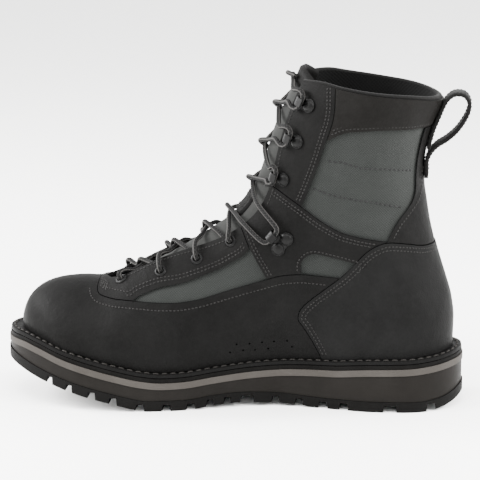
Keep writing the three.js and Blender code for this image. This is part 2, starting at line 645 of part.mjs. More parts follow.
// The tongue lies under the facings and swells out between them.
const tongueClear = 1.8;
const tongueSag = 5.2;         // how far its middle lies below the form's front line, at the foot
const tongueSagTop = 1.6;      // the same at the shaft
const tongueStart = 10;        // how far it runs in under the vamp
const tongueRows = 13;
const tongueColumns = 8;

function tongueLift(length, off) {
  const under = wall + tongueClear;
  const open = throatHalfAt(Math.min(length, collarLength)) - 2;
  if (open <= Math.abs(off)) return -under;
  const up = ease((length - vampLength - 20) / 90);
  const rise = under - mix(tongueSag, tongueSagTop, up);
  return -under + rise * (1 - (off / open) ** 2) * ease((length - vampLength) / 20);
}

function tongue() {
  const sheet = [];
  const lifts = [];
  const end = collarLength + tongueRise;
  for (let i = 0; i <= tongueRows; i += 1) {
    const length = mix(vampLength - tongueStart, end, i / tongueRows);
    const half = tongueHalf * mix(0.72, 1, ease((length - vampLength) / 80));
    const row = [];
    const rowLifts = [];
    for (let j = 0; j <= tongueColumns; j += 1) {
      const off = mix(half, -half, j / tongueColumns);
      row.push(frontSurface(length, off).point);
      rowLifts.push(tongueLift(length, off));
    }
    sheet.push(row);
    lifts.push(rowLifts);
  }
  const normals = sheetNormals(sheet);
  const moved = (extra) => sheet.map((row, i) => row.map((p, j) => {
    const reach = lifts[i][j] + extra;
    const normal = normals[i][j];
    return [p[0] + normal.x * reach, p[1] + normal.y * reach, p[2] + normal.z * reach];
  }));
  return closedSlab(moved(-tongueThick), moved(0));
}

// A closed slab between two grids of points, the second one outside.
function closedSlab(inside, outside) {
  const corners = [];
  const rows = inside.length - 1;
  const columns = inside[0].length - 1;
  for (let i = 0; i < rows; i += 1) {
    for (let j = 0; j < columns; j += 1) {
      addQuad(corners, outside[i][j], outside[i + 1][j], outside[i + 1][j + 1], outside[i][j + 1]);
      addQuad(corners, inside[i][j], inside[i][j + 1], inside[i + 1][j + 1], inside[i + 1][j]);
    }
    addQuad(corners, inside[i][0], inside[i + 1][0], outside[i + 1][0], outside[i][0]);
    addQuad(corners, outside[i][columns], outside[i + 1][columns], inside[i + 1][columns], inside[i][columns]);
  }
  for (let j = 0; j < columns; j += 1) {
    addQuad(corners, inside[0][j], outside[0][j], outside[0][j + 1], inside[0][j + 1]);
    addQuad(corners, outside[rows][j], inside[rows][j], inside[rows][j + 1], outside[rows][j + 1]);
  }
  return geometryFrom(corners);
}

// A place on the form with its own directions: out of the leather, forward to the throat, and up.
function seatAt(place, side) {
  const [x, z] = [place.at * soleLength, place.up * shaftHeight];
  const origin = new THREE.Vector3(...formPoint(x, z, side));
  const alongX = new THREE.Vector3(...formPoint(x + 1, z, side)).sub(new THREE.Vector3(...formPoint(x - 1, z, side)));
  const alongZ = new THREE.Vector3(...formPoint(x, z + 1, side)).sub(new THREE.Vector3(...formPoint(x, z - 1, side)));
  const out = new THREE.Vector3().crossVectors(alongZ, alongX).multiplyScalar(side).normalize();
  const step = frontAt(nearestFrontLength(x, z));
  const toFront = new THREE.Vector3(step.x, 0, step.z).sub(new THREE.Vector3(x, 0, z));
  const forward = toFront.sub(out.clone().multiplyScalar(toFront.dot(out))).normalize();
  const up = new THREE.Vector3().crossVectors(forward, out).multiplyScalar(side);
  return { origin, out, forward, up, side };
}

function nearestFrontLength(x, z) {
  let best = { distance: Infinity, length: 0 };
  for (const step of front) {
    const distance = Math.hypot(x - step.x, z - step.z);
    if (distance < best.distance) best = { distance, length: step.length };
  }
  return best.length;
}

// Moves a geometry drawn with X forward, Y up the throat's edge and Z out of the leather to its seat.
function seated(geometry, seat, lift) {
  const up = new THREE.Vector3().crossVectors(seat.out, seat.forward);
  const basis = new THREE.Matrix4().makeBasis(seat.forward, up, seat.out);
  basis.setPosition(seat.origin.clone().addScaledVector(seat.out, lift));
  return geometry.clone().applyMatrix4(basis);
}

// A piece drawn for the medial side, mirrored for the lateral one, on its seat.
function handed(geometry, place, side, lift) {
  const seat = seatAt(place, side);
  const basis = new THREE.Matrix4().makeBasis(seat.forward, seat.up, seat.out);
  basis.setPosition(seat.origin.clone().addScaledVector(seat.out, lift));
  const moved = geometry.clone().applyMatrix4(basis);
  if (basis.determinant() > 0) return moved;
  const turned = Array.from(moved.index.array);
  for (let i = 0; i < turned.length; i += 3) [turned[i], turned[i + 1]] = [turned[i + 1], turned[i]];
  moved.setIndex(turned);
  return moved;
}

// Eyelets, hooks and the ankle lock: places on the form in side view.
const eyeletPlaces = [
  { at: 0.740, up: 0.364 }, { at: 0.652, up: 0.400 }, { at: 0.574, up: 0.441 }, { at: 0.500, up: 0.498 },
];
const lockPlace = { at: 0.386, up: 0.506 };
const hookPlaces = [{ at: 0.383, up: 0.697 }, { at: 0.353, up: 0.813 }, { at: 0.328, up: 0.920 }];
const laceSize = 3.2;
const eyeletHole = 2.1;
const eyeletRim = 4.2;
const eyeletThick = 0.9;
const eyeletDeep = 2.6;        // barrel below the facing's face
const hookBase = 4.6;
const hookWide = 3.8;
const hookSheet = 1.2;
const hookReach = 8.5;         // from the rivet to the neck
const hookMouth = 5;
const lockExtra = 3;           // the lock's neck is this much longer
const rivetApart = 9;
const hardwareGap = 0.45;      // under a flat base on curved leather
const facingTop = gap + facingThick;
const bandTopFace = gap + bandThick;

function eyelet() {
  const barrel = eyeletHole + 0.5;
  const profile = [
    [eyeletHole, -eyeletDeep], [barrel, -eyeletDeep], [barrel, 0], [eyeletRim, 0], [eyeletHole, eyeletThick],
    [eyeletHole, -eyeletDeep],
  ].map(([r, z]) => new THREE.Vector2(r, z));
  const ring = new THREE.LatheGeometry(profile, 8);
  ring.rotateX(Math.PI / 2);
  return fromManifold(toManifold(ring));
}

function eyeletCut(seat) {
  const cut = new THREE.CylinderGeometry(eyeletHole + 0.5 + gap, eyeletHole + 0.5 + gap, 14, 8);
  cut.rotateX(Math.PI / 2);
  return toManifold(seated(cut, seat, 0));
}

// Strip metal that runs from a rivet to the throat and curls back over the lace.
function hookNeck(reach, wide) {
  const shape = new THREE.Shape();
  const bend = hookMouth / 2 + hookSheet;
  shape.moveTo(0, 0);
  shape.lineTo(reach - bend, 0);
  shape.absarc(reach - bend, bend, bend, -Math.PI / 2, Math.PI / 2, false);
  shape.lineTo(reach - bend - 3, 2 * bend);
  shape.lineTo(reach - bend - 3, 2 * bend - hookSheet);
  shape.lineTo(reach - bend, 2 * bend - hookSheet);
  shape.absarc(reach - bend, bend, bend - hookSheet, Math.PI / 2, -Math.PI / 2, true);
  shape.lineTo(0, hookSheet);
  const strip = new THREE.ExtrudeGeometry(shape, { depth: wide, bevelEnabled: false, curveSegments: 3 });
  strip.rotateX(Math.PI / 2);
  strip.translate(0, wide / 2, 0);
  return toManifold(strip);
}

// The round base of a hook and the rivet through it, a distance up from the neck.
function rivetBase(up) {
  const base = new THREE.CylinderGeometry(hookBase, hookBase, hookSheet, 8);
  base.rotateX(Math.PI / 2);
  base.translate(0, up, hookSheet / 2);
  const rivet = new THREE.CylinderGeometry(1.5, 2.4, 1.2, 6);
  rivet.rotateX(Math.PI / 2);
  rivet.translate(0, up, hookSheet + 0.5);
  return toManifold(base).add(toManifold(rivet));
}

function hook() {
  return fromManifold(hookNeck(hookReach, hookWide).add(rivetBase(0)));
}

// The ankle lock: a longer neck between two riveted bases.
function ankleLock() {
  const bridge = new THREE.BoxGeometry(2 * hookBase - 2, rivetApart, hookSheet);
  bridge.translate(0, 0, hookSheet / 2);
  const solid = hookNeck(hookReach + lockExtra, hookWide + 1).add(toManifold(bridge));
  return fromManifold(solid.add(rivetBase(rivetApart / 2)).add(rivetBase(-rivetApart / 2)));
}

// A place over the throat at a length along the front line, off to a side, lifted off the form.
function overThroat(length, off, lift) {
  const at = (l, o) => new THREE.Vector3(...frontSurface(l, o).point);
  const along = at(length + 1, off).sub(at(length - 1, off));
  const across = at(length, off + 1).sub(at(length, off - 1));
  const out = new THREE.Vector3().crossVectors(across, along).normalize();
  if (out.dot(new THREE.Vector3(1, 0, 1)) < 0) out.negate();
  return at(length, off).addScaledVector(out, lift);
}

// A round lace with one ring at each of its points.
function laceTube(points) {
  const sides = 5;
  const ring = [];
  for (let i = 0; i < sides; i += 1) {
    const angle = 2 * Math.PI * i / sides;
    ring.push(new THREE.Vector2(Math.cos(angle) * laceSize / 2, Math.sin(angle) * laceSize / 2));
  }
  const path = new THREE.CatmullRomCurve3(points, false, 'centripetal');
  path.getUtoTmapping = (share) => share;
  const steps = points.length - 1;
  return new THREE.ExtrudeGeometry(new THREE.Shape(ring), { steps, extrudePath: path, bevelEnabled: false });
}

// Stations of the lace from the toe up: four eyelets, the ankle lock and three hooks on each side.
const laceStations = [
  ...eyeletPlaces.map((place) => ({ kind: 'eyelet', place })),
  { kind: 'lock', place: lockPlace },
  ...hookPlaces.map((place) => ({ kind: 'hook', place })),
].map((station) => ({ ...station, length: nearestFrontLength(station.place.at * soleLength, station.place.up * shaftHeight) }));

const onFacing = facingTop + hardwareGap;
const onBand = bandTopFace + hardwareGap;
const seatLift = { eyelet: onFacing, lock: onBand, hook: onFacing };

// The lace's points at a station, from its hold outwards to the throat, on its upper or lower side.
function laceHold(station, side, upper) {
  const seat = seatAt(station.place, side);
  const lift = seatLift[station.kind];
  const turn = upper ? 1 : -1;
  const at = (forward, up, out) => seat.origin.clone().addScaledVector(seat.forward, forward)
    .addScaledVector(seat.up, up * turn).addScaledVector(seat.out, lift + out);
  if (station.kind === 'eyelet') return [at(0, 0, -2.2), at(0, 0, 1.8), at(0.7, 0.3, 4)];
  const extra = station.kind === 'lock' ? lockExtra : 0;
  const neck = hookReach - hookMouth / 2 - hookSheet + extra;
  const clear = (hookWide + laceSize) / 2 + gap + (extra ? 1.1 : 0.4);
  const out = hookMouth / 2 + hookSheet;
  return [at(neck - 0.2, 0.3, out), at(neck - 0.2, clear - 0.8, out), at(neck + 1, clear + 1.6, out),
    at(neck + 4.5, clear + 2.4, out)];
}

// A strand's place over the throat, from the lower edge point (0) to the upper one on the other side (1).
const laceSpread = { eyelet: 3, lock: 7, hook: 4.6 };
const edgeLift = facingTop + gap + laceSize / 2 + 1.3;

function strandPlace(from, to, side, share, raise) {
  const length = mix(from, to, share);
  const off = side * (1 - 2 * share) * throatHalfAt(length);
  const atEdge = Math.abs(1 - 2 * share) > 0.95;
  const lift = atEdge ? edgeLift : tongueLift(length, off) + laceSize / 2 + gap + 0.5 + raise;
  return overThroat(length, off, lift);
}

// One strand from a station up across the tongue to the next station on the other side.
function laceStrand(lower, upper, side) {
  const from = lower.length + laceSpread[lower.kind];
  const to = upper.length - laceSpread[upper.kind];
  const cross = side > 0 ? 0 : 1.8;
  const place = (share, raise = 0) => strandPlace(from, to, side, share, raise);
  const start = [...laceHold(lower, side, true), place(0), place(0.25, 0.9), place(0.5, 0.4 + cross), place(0.75, 0.9)];
  if (upper.kind === 'eyelet') return laceTube([...start, place(0.9)]);
  return laceTube([...start, place(1), ...laceHold(upper, -side, false).reverse()]);
}

// The top strands meet at the middle of the tongue, where the ends are tucked away.
function topStrand(side) {
  const last = laceStations[laceStations.length - 1];
  const from = last.length + laceSpread.hook;
  const to = collarLength + 6;
  const place = (share) => strandPlace(from, to, side, share, 0.3);
  return laceTube([...laceHold(last, side, true), place(0), place(0.25), place(0.52)]);
}

function laceCrossing(i) {
  const [lower, upper] = [laceStations[i], laceStations[i + 1]];
  const strands = upper ? [laceStrand(lower, upper, 1), laceStrand(lower, upper, -1)] : [topStrand(1), topStrand(-1)];
  return fromManifold(toManifold(strands[0]).add(toManifold(strands[1])));
}

// The webbing loop: out from the cuff's top, round, and down flat against the back of the shaft.
// out is a share of the loop's reach behind the back line, up a share of the shaft's height.
const loopReach = 18;
const loopThick = 2.4;
const loopWide = 20;
const loopRows = [
  { out: 0.00, up: 0.882 }, { out: 0.00, up: 0.906 }, { out: 0.06, up: 0.926 }, { out: 0.28, up: 0.941 },
  { out: 0.64, up: 0.938 }, { out: 0.90, up: 0.916 }, { out: 1.00, up: 0.884 }, { out: 0.89, up: 0.836 },
  { out: 0.60, up: 0.806 }, { out: 0.28, up: 0.786 }, { out: 0.10, up: 0.764 }, { out: 0.00, up: 0.738 },
  { out: 0.00, up: 0.712 }, { out: 0.00, up: 0.690 },
];

function pullLoop() {
  const seat = gap + cuffThick + 2 * gap + loopThick / 2;
  const line = loopRows.map(({ out, up }) => {
    const z = up * shaftHeight;
    return new THREE.Vector2(backLine(z) - seat - out * loopReach, z);
  });
  const path = new THREE.SplineCurve(line);
  const steps = 20;
  const left = [];
  const right = [];
  for (let i = 0; i <= steps; i += 1) {
    const point = path.getPoint(i / steps);
    const way = path.getTangent(i / steps);
    const side = new THREE.Vector2(-way.y, way.x).multiplyScalar(loopThick / 2);
    left.push([point.x + side.x, point.y + side.y]);
    right.push([point.x - side.x, point.y - side.y]);
  }
  return fromManifold(toManifold(sidePrism([...left, ...right.reverse()], -loopWide / 2, loopWide / 2)));
}

const parts = new THREE.Group();
function addPart(name, geometry, color, roughness = 0.8) {
  geometry.translate(-heelRestAt, 0, 0);
  const mesh = new THREE.Mesh(geometry, new THREE.MeshStandardMaterial({ color, roughness, metalness: 0 }));
  mesh.name = name;
  parts.add(mesh);
}
addPart('outsole', outsole(), 0x262422);
addPart('midsole', midsole(), 0x3a3633);
addPart('midsole_strip', midsoleStrip(), 0x7b776f);
addPart('welt', welt(), 0x2e2c2a);
addPart('insole', insole(), 0x222222);
const upperShell = toManifold(geometryFrom(shell(baseSheet, -wall, 0, { row: 1, inner: -0.6 }).corners));
const upperSolid = upperShell.subtract(toManifold(soleLayer(() => 0, (x) => weltTop(x) + gap, evenInset(-4))));
const sides = [['medial', 1], ['lateral', -1]];
const eyeletSeats = sides.flatMap(([, side]) => eyeletPlaces.map((place) => seatAt(place, side)));
const punched = (solid) => eyeletSeats.reduce((rest, seat) => rest.subtract(eyeletCut(seat)), solid);
addPart('upper', fromManifold(punched(upperSolid)), 0x5a5f58);
addPart('tongue', tongue(), 0x737373);
addPart('heel_counter', fromManifold(overlay(counterRows, counterThick)), 0x363636);
addPart('vamp_guard', fromManifold(overlay(guardRows, guardThick, [counterRows])), 0x333332);
addPart('cuff', fromManifold(overlay(cuffRows, cuffThick, [shaftFacingRows])), 0x343130);
addPart('backstay', fromManifold(overlay(backstayRows, cuffThick, [counterRows, cuffRows])), 0x333333);
addPart('pull_loop', pullLoop(), 0x2c2a28);
for (const [name, side] of sides) {
  const band = overlay(bandRows, bandThick, [counterRows, guardRows], side)
    .subtract(prismOf(outlineOf(ankleWindowRows)));
  addPart(`ankle_band_${name}`, fromManifold(band), 0x333332);
  const facing = punched(overlay(lowerFacingRows, facingThick, [guardRows, bandRows], side));
  addPart(`lower_facing_${name}`, fromManifold(facing), 0x333332);
  addPart(`shaft_facing_${name}`, fromManifold(overlay(shaftFacingRows, facingThick, [bandRows], side)), 0x2f2f2d);
  eyeletPlaces.forEach((place, i) => {
    addPart(`eyelet_${name}_${i + 1}`, seated(eyelet(), seatAt(place, side), onFacing), 0x1c1c1c, 0.4);
  });
  hookPlaces.forEach((place, i) => {
    addPart(`lace_hook_${name}_${i + 1}`, handed(hook(), place, side, onFacing), 0x1c1c1c, 0.4);
  });
  addPart(`ankle_lock_${name}`, handed(ankleLock(), lockPlace, side, onBand), 0x1c1c1c, 0.4);
}
laceStations.forEach((station, i) => addPart(`lace_crossing_${i + 1}`, laceCrossing(i), 0x51524d));

export default parts;
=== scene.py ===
import math
import bmesh
import bpy
import numpy as np
from mathutils import Matrix, Vector


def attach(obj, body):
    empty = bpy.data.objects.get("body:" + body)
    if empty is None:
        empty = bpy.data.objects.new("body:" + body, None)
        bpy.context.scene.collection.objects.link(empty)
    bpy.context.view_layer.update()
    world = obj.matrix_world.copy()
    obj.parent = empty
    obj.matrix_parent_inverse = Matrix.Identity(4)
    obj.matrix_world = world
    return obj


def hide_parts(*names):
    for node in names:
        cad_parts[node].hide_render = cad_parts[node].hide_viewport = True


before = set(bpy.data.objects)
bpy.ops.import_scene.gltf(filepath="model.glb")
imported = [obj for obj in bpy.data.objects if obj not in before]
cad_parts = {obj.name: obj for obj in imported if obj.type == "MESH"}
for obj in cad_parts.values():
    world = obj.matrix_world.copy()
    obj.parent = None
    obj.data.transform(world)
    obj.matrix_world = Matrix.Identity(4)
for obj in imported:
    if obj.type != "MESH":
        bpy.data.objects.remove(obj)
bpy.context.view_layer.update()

heelRestAt = 64.0  # mm from the sole's back end to the origin

# Camera, floor and light come first: the camera stands where the photo was taken from.
view = {
    "camera": (-0.0594, 1.5329, 0.4278), "target": (0.0882, 0.0, 0.1073), "lens": 173.7,
    "floorColour": (0.93, 0.93, 0.92), "worldColour": (1.0, 1.0, 1.0), "worldStrength": 3.2,
    "lights": [  # place, target, width, watts, colour
        ((-1.15, 0.55, 0.95), (-0.02, 0.0, 0.10), 0.8, 58.0, (1.0, 0.99, 0.97)),
        ((1.25, 0.50, 0.70), (0.20, 0.0, 0.06), 0.8, 54.0, (1.0, 0.99, 0.98)),
        ((0.15, 0.75, 1.50), (0.08, 0.0, 0.10), 1.1, 46.0, (1.0, 1.0, 1.0)),
        ((-1.20, -0.22, 0.75), (-0.05, 0.0, 0.13), 0.5, 46.0, (1.0, 1.0, 1.0)),
        ((1.25, -0.30, 0.80), (0.22, 0.0, 0.07), 0.5, 50.0, (1.0, 1.0, 1.0)),
    ],
}


def deselectAll():
    if bpy.context.object and bpy.context.object.mode != "OBJECT":
        bpy.ops.object.mode_set(mode="OBJECT")
    bpy.ops.object.select_all(action="DESELECT")


def pointAt(obj, target):
    obj.rotation_euler = (Vector(target) - obj.location).to_track_quat("-Z", "Y").to_euler()


def makeStage():
    deselectAll()
    bpy.ops.object.camera_add(location=view["camera"])
    camera = bpy.context.object
    camera.name = "photo_camera"
    camera.data.sensor_width = 36.0
    camera.data.lens = view["lens"]
    camera.data.clip_start = 0.01
    pointAt(camera, view["target"])
    bpy.context.scene.camera = camera
    for place, target, width, power, colour in view["lights"]:
        bpy.ops.object.light_add(type="AREA", location=place)
        lamp = bpy.context.object
        lamp.data.shape = "DISK"
        lamp.data.size = width
        lamp.data.energy = power
        lamp.data.color = colour
        pointAt(lamp, target)
    deselectAll()
    bpy.ops.mesh.primitive_plane_add(size=14.0, location=(0.0, 0.0, -0.0002))
    floor = bpy.context.object
    floor.name = "studio_floor"
    world = bpy.data.worlds.new("studio")
    world.use_nodes = True
    background = world.node_tree.nodes["Background"]
    background.inputs["Color"].default_value = (*view["worldColour"], 1.0)
    background.inputs["Strength"].default_value = view["worldStrength"]
    bpy.context.scene.world = world
    return floor


floor = makeStage()
print("stage: camera, floor and lights")


# Shader maths, and the one method that makes every other node
class Number:
    # a number in a node tree that can be used in Python sums
    def __init__(self, tree, socket):
        self.tree = tree
        self.socket = socket

    def join(self, operation, first, second):
        node = self.tree.nodes.new("ShaderNodeMath")
        node.operation = operation
        for slot, value in zip(node.inputs, (first, second)):
            if isinstance(value, Number):
                self.tree.links.new(value.socket, slot)
            else:
                slot.default_value = value
        return Number(self.tree, node.outputs[0])

    def __add__(self, other):
        return self.join("ADD", self, other)

    def __radd__(self, other):
        return self.join("ADD", other, self)

    def __sub__(self, other):
        return self.join("SUBTRACT", self, other)

    def __rsub__(self, other):
        return self.join("SUBTRACT", other, self)

    def __mul__(self, other):
        return self.join("MULTIPLY", self, other)

    def __rmul__(self, other):
        return self.join("MULTIPLY", other, self)

    def fraction(self):
        return self.join("FRACT", self, 0.0)

    def zigzag(self, size):
        return self.join("PINGPONG", self, size)


class Finish:
    def __init__(self, name):
        self.material = bpy.data.materials.new(name)
        self.material.use_nodes = True
        self.tree = self.material.node_tree
        self.surface = self.tree.nodes["Principled BSDF"]
        self.place = self.node("ShaderNodeTexCoord", output="Object")

    def node(self, kind, settings=None, sockets=None, output=0):
        made = self.tree.nodes.new(kind)
        for key, value in (settings or {}).items():
            if key == "stops":
                ramp = made.color_ramp
                while len(ramp.elements) < len(value):
                    ramp.elements.new(0.5)
                for element, (position, colour) in zip(ramp.elements, value):
                    element.position = position
                    element.color = (*colour, 1.0) if len(colour) == 3 else colour
            else:
                setattr(made, key, value)
        for key, value in (sockets or {}).items():
            slot = made.inputs[key]
            link = value.socket if isinstance(value, Number) else value
            if isinstance(link, bpy.types.NodeSocket):
                self.tree.links.new(link, slot)
            else:
                slot.default_value = link
        return made.outputs[output]

    def number(self, kind, settings=None, sockets=None, output=0):
        return Number(self.tree, self.node(kind, settings, sockets, output))

    def scaled(self, size, turn=(0.0, 0.0, 0.0)):
        return self.node("ShaderNodeMapping", None, {"Vector": self.place, "Scale": size, "Rotation": turn})

    def noise(self, scale, detail=2.0, rough=0.5, vector=None):
        sockets = {"Vector": vector or self.place, "Scale": scale, "Detail": detail, "Roughness": rough}
        return self.number("ShaderNodeTexNoise", None, sockets, "Fac")

    def cells(self, scale, feature="F1", vector=None):
        sockets = {"Vector": vector or self.place, "Scale": scale}
        return self.number("ShaderNodeTexVoronoi", {"feature": feature}, sockets, "Distance")

    def span(self, value, low, high, first=0.0, last=1.0):
        sockets = {"Value": value, 1: low, 2: high, 3: first, 4: last}
        return self.number("ShaderNodeMapRange", {"clamp": True}, sockets, 0)

    def blend(self, factor, first, second):
        sockets = {0: factor, 6: (*first, 1.0) if isinstance(first, tuple) else first,
                   7: (*second, 1.0) if isinstance(second, tuple) else second}
        return self.node("ShaderNodeMix", {"data_type": "RGBA"}, sockets, 2)

    def shade(self, factor, look):
        # between the look's dark and its light
        tones = [grey(look[key], look["warm"], look.get("green", 0.0)) for key in ("dark", "light")]
        return self.blend(factor, *tones)

    def bump(self, height, distance, strength=1.0, before=None):
        sockets = {"Height": height, "Distance": distance, "Strength": strength}
        if before is not None:
            sockets["Normal"] = before
        return self.node("ShaderNodeBump", None, sockets, "Normal")

    def finish(self, colour=None, rough=None, normal=None, **fixed):
        for key, value in (("Base Color", colour), ("Roughness", rough), ("Normal", normal)):
            if value is None:
                continue
            link = value.socket if isinstance(value, Number) else value
            if isinstance(link, bpy.types.NodeSocket):
                self.tree.links.new(link, self.surface.inputs[key])
            elif isinstance(value, tuple):
                self.surface.inputs[key].default_value = (*value, 1.0)
            else:
                self.surface.inputs[key].default_value = value
        for key, value in fixed.items():
            self.surface.inputs[key.replace("_", " ")].default_value = value
        return self.material


surfaceShare = 0.104  # of the brightness that the photo shows; gloss and the bright studio add the rest


def grey(value, warm=0.0, green=0.0):
    # a surface colour from a grey level as the photo shows it, a little warm, cold or green
    def linear(level):
        level = max(0.0, level) / 255.0
        return level / 12.92 if level <= 0.04045 else ((level + 0.055) / 1.055) ** 2.4
    return tuple(linear(level) * surfaceShare for level in (value + warm, value + green, value - warm))


leatherLook = {
    "leather": {"dark": 41, "warm": 0.6, "light": 54, "grain": 850.0, "depth": 0.00016, "rough": 0.50},
    "counter": {"dark": 47, "warm": 0.3, "light": 61, "grain": 850.0, "depth": 0.00016, "rough": 0.50},
    "cuff_leather": {"dark": 46, "warm": 1.8, "light": 61, "grain": 700.0, "depth": 0.00022, "rough": 0.55},
    "welt": {"dark": 34, "warm": 1.5, "light": 50, "grain": 500.0, "depth": 0.0002, "rough": 0.6},
    "cutEdge": {"dark": 20, "warm": 0.5, "light": 30, "grain": 900.0, "depth": 0.0001, "rough": 0.8},
}


def makeLeather(name, look):
    made = Finish(name)
    patches = made.noise(38.0, 3.0, 0.6)
    fine = made.noise(420.0, 3.0, 0.65)
    grain = made.cells(look["grain"])
    pores = made.noise(look["grain"] * 2.2, 2.0, 0.5)
    tone = made.span(patches * 0.65 + fine * 0.35, 0.36, 0.66)
    rough = look["rough"] + (patches - 0.5) * 0.25 + (1.0 - grain) * 0.05
    height = grain * 0.7 + pores * 0.3
    soft = made.bump(made.noise(95.0, 2.0, 0.5), 0.0011, 0.55)
    normal = made.bump(height, look["depth"], 0.8, soft)
    return made.finish(made.shade(tone, look), rough, normal, Specular_IOR_Level=0.02)


clothLook = {
    "upper": {"dark": 74, "light": 98, "warm": -0.5, "green": 3.0, "thread": 1150.0, "depth": 0.00028,
              "rough": 0.82},
    "tongue": {"dark": 88, "light": 120, "warm": 0.5, "green": 1.5, "thread": 900.0, "depth": 0.0001, "rough": 0.85,
               "plain": True},
    "lining": {"dark": 18, "light": 30, "warm": 0.0, "thread": 800.0, "depth": 0.0003, "rough": 0.9},
    "binding": {"dark": 26, "light": 40, "warm": 1.0, "thread": 900.0, "depth": 0.0002, "rough": 0.8},
    "webbing": {"dark": 30, "light": 52, "warm": 1.0, "thread": 620.0, "depth": 0.00045, "rough": 0.78},
}


def makeCloth(name, look):
    made = Finish(name)
    # threads run along the boot and up it; the middle of each crossing stands out
    sockets = {"Vector": made.place, "Scale": look["thread"] / 6.3, "Distortion": 0.4, "Detail": 1.0}
    along, upward = (made.number("ShaderNodeTexWave", {"bands_direction": way}, sockets, "Fac") for way in "XZ")
    weave = along * upward + (1.0 - along) * (1.0 - upward)
    if look.get("plain"):
        weave = made.noise(look["thread"], 2.0, 0.7)  # a curved piece would show bands as rings
    patches = made.noise(55.0, 3.0, 0.6)
    fuzz = made.noise(1500.0, 2.0, 0.6)
    tone = made.span(weave * 0.45 + patches * 0.45 + fuzz * 0.25, 0.30, 0.85)
    soft = made.bump(made.noise(70.0, 2.0, 0.5), 0.0009, 0.5)
    normal = made.bump(weave * 0.8 + fuzz * 0.3, look["depth"], 0.7, soft)
    return made.finish(made.shade(tone, look), look["rough"], normal, Sheen_Weight=0.02, Sheen_Roughness=0.5,
                       Specular_IOR_Level=0.05)


rubberLook = {
    "outsole": {"dark": 33, "light": 45, "warm": 1.2, "rough": 0.62, "depth": 0.0003},
    "midsole": {"dark": 53, "light": 66, "warm": 3.5, "rough": 0.50, "depth": 0.00012},
    "midsole_strip": {"dark": 122, "light": 142, "warm": 6.0, "rough": 0.55, "depth": 0.00012},
    "insole": {"dark": 16, "light": 28, "warm": 0.0, "rough": 0.9, "depth": 0.0002},
}


def makeRubber(name, look):
    made = Finish(name)
    cloud = made.noise(45.0, 4.0, 0.6)
    speck = made.noise(900.0, 3.0, 0.6)
    scuffs = made.span(made.noise(160.0, 5.0, 0.75, made.scaled((0.25, 0.25, 1.6))), 0.60, 0.72)
    tone = made.span(cloud * 0.7 + speck * 0.3, 0.32, 0.70)
    worn = made.blend(scuffs * 0.30, made.shade(tone, look), grey(look["light"] * 1.22, look["warm"]))
    rough = look["rough"] + (cloud - 0.5) * 0.2 + scuffs * 0.1
    normal = made.bump(speck * 0.7 + cloud * 0.6, look["depth"], 0.7)
    return made.finish(worn, rough, normal, Specular_IOR_Level=0.03)


metalLook = {"dark": 28, "light": 62, "rough": 0.42, "metallic": 0.35, "specular": 0.12}


def makeMetal(name):
    made = Finish(name)
    cloud = made.noise(300.0, 3.0, 0.6)
    rubbed = made.span(made.noise(800.0, 4.0, 0.7), 0.58, 0.72)
    colour = made.blend(rubbed * 0.5, grey(metalLook["dark"], 0.3), grey(metalLook["light"], 1.0))
    normal = made.bump(cloud, 0.00008, 0.6)
    return made.finish(colour, metalLook["rough"] + rubbed * 0.12, normal, Metallic=metalLook["metallic"],
                       Specular_IOR_Level=metalLook["specular"])


threadLook = {
    "thread": {"dark": 48, "light": 80, "warm": 1.5},
    "weltThread": {"dark": 62, "light": 96, "warm": 4.0},
    "quiltThread": {"dark": 52, "light": 78, "warm": 0.0},
}


def makeThread(name, look):
    made = Finish(name)
    twist = made.number("ShaderNodeTexWave", {"bands_direction": "DIAGONAL"},
                        {"Vector": made.place, "Scale": 420.0, "Distortion": 1.0}, "Fac")
    tone = made.span(twist * 0.6 + made.noise(220.0) * 0.5, 0.25, 0.85)
    normal = made.bump(twist, 0.0001, 0.7)
    return made.finish(made.shade(tone, look), 0.75, normal, Specular_IOR_Level=0.1)


laceLook = {"dark": 34, "body": 60, "fleck": 120, "stripe": 158, "turns": 4.0, "pitch": 0.42, "stripes": 3.0}


def makeLace(name):
    # a round braid on the piece's own map: across runs round the lace, along in millimetres
    made = Finish(name)
    split = made.tree.nodes.new("ShaderNodeSeparateXYZ")
    made.tree.links.new(made.node("ShaderNodeUVMap", {"uv_map": "laceMap"}), split.inputs[0])
    around, length = Number(made.tree, split.outputs[0]), Number(made.tree, split.outputs[1])
    wound, run = around * laceLook["turns"], length * laceLook["pitch"]
    left, right = (wound + run).fraction(), (wound - run).fraction()
    plait = left.zigzag(0.5) + right.zigzag(0.5)
    flecks = made.span(left, 0.74, 0.80) * made.span(right, 0.35, 0.42)
    dark = made.blend(made.span(plait, 0.15, 0.75), grey(laceLook["dark"]), grey(laceLook["body"]))
    # light yarns run along it on three sides, broken by the plait
    stripe = made.span((around * laceLook["stripes"]).zigzag(0.5), 0.34, 0.42)
    stripe = stripe * made.span(plait, 0.12, 0.45, 0.55, 1.0)
    flecked = made.blend(flecks * 0.7, dark, grey(laceLook["fleck"], 1.0))
    colour = made.blend(stripe * 0.85, flecked, grey(laceLook["stripe"], 3.0))
    normal = made.bump(plait + made.noise(1600.0) * 0.3, 0.00035, 0.8)
    return made.finish(colour, 0.78, normal, Specular_IOR_Level=0.06)


def makeFloor(name):
    made = Finish(name)
    return made.finish(view["floorColour"], 0.55, None, Specular_IOR_Level=0.3)


finishes = {"hardware": makeMetal("hardware"), "lace": makeLace("lace")}
for make, looks in ((makeLeather, leatherLook), (makeCloth, clothLook), (makeRubber, rubberLook),
                    (makeThread, threadLook)):
    finishes.update({name: make(name, look) for name, look in looks.items()})
floor.data.materials.append(makeFloor("studioFloor"))
print("finishes:", len(finishes))

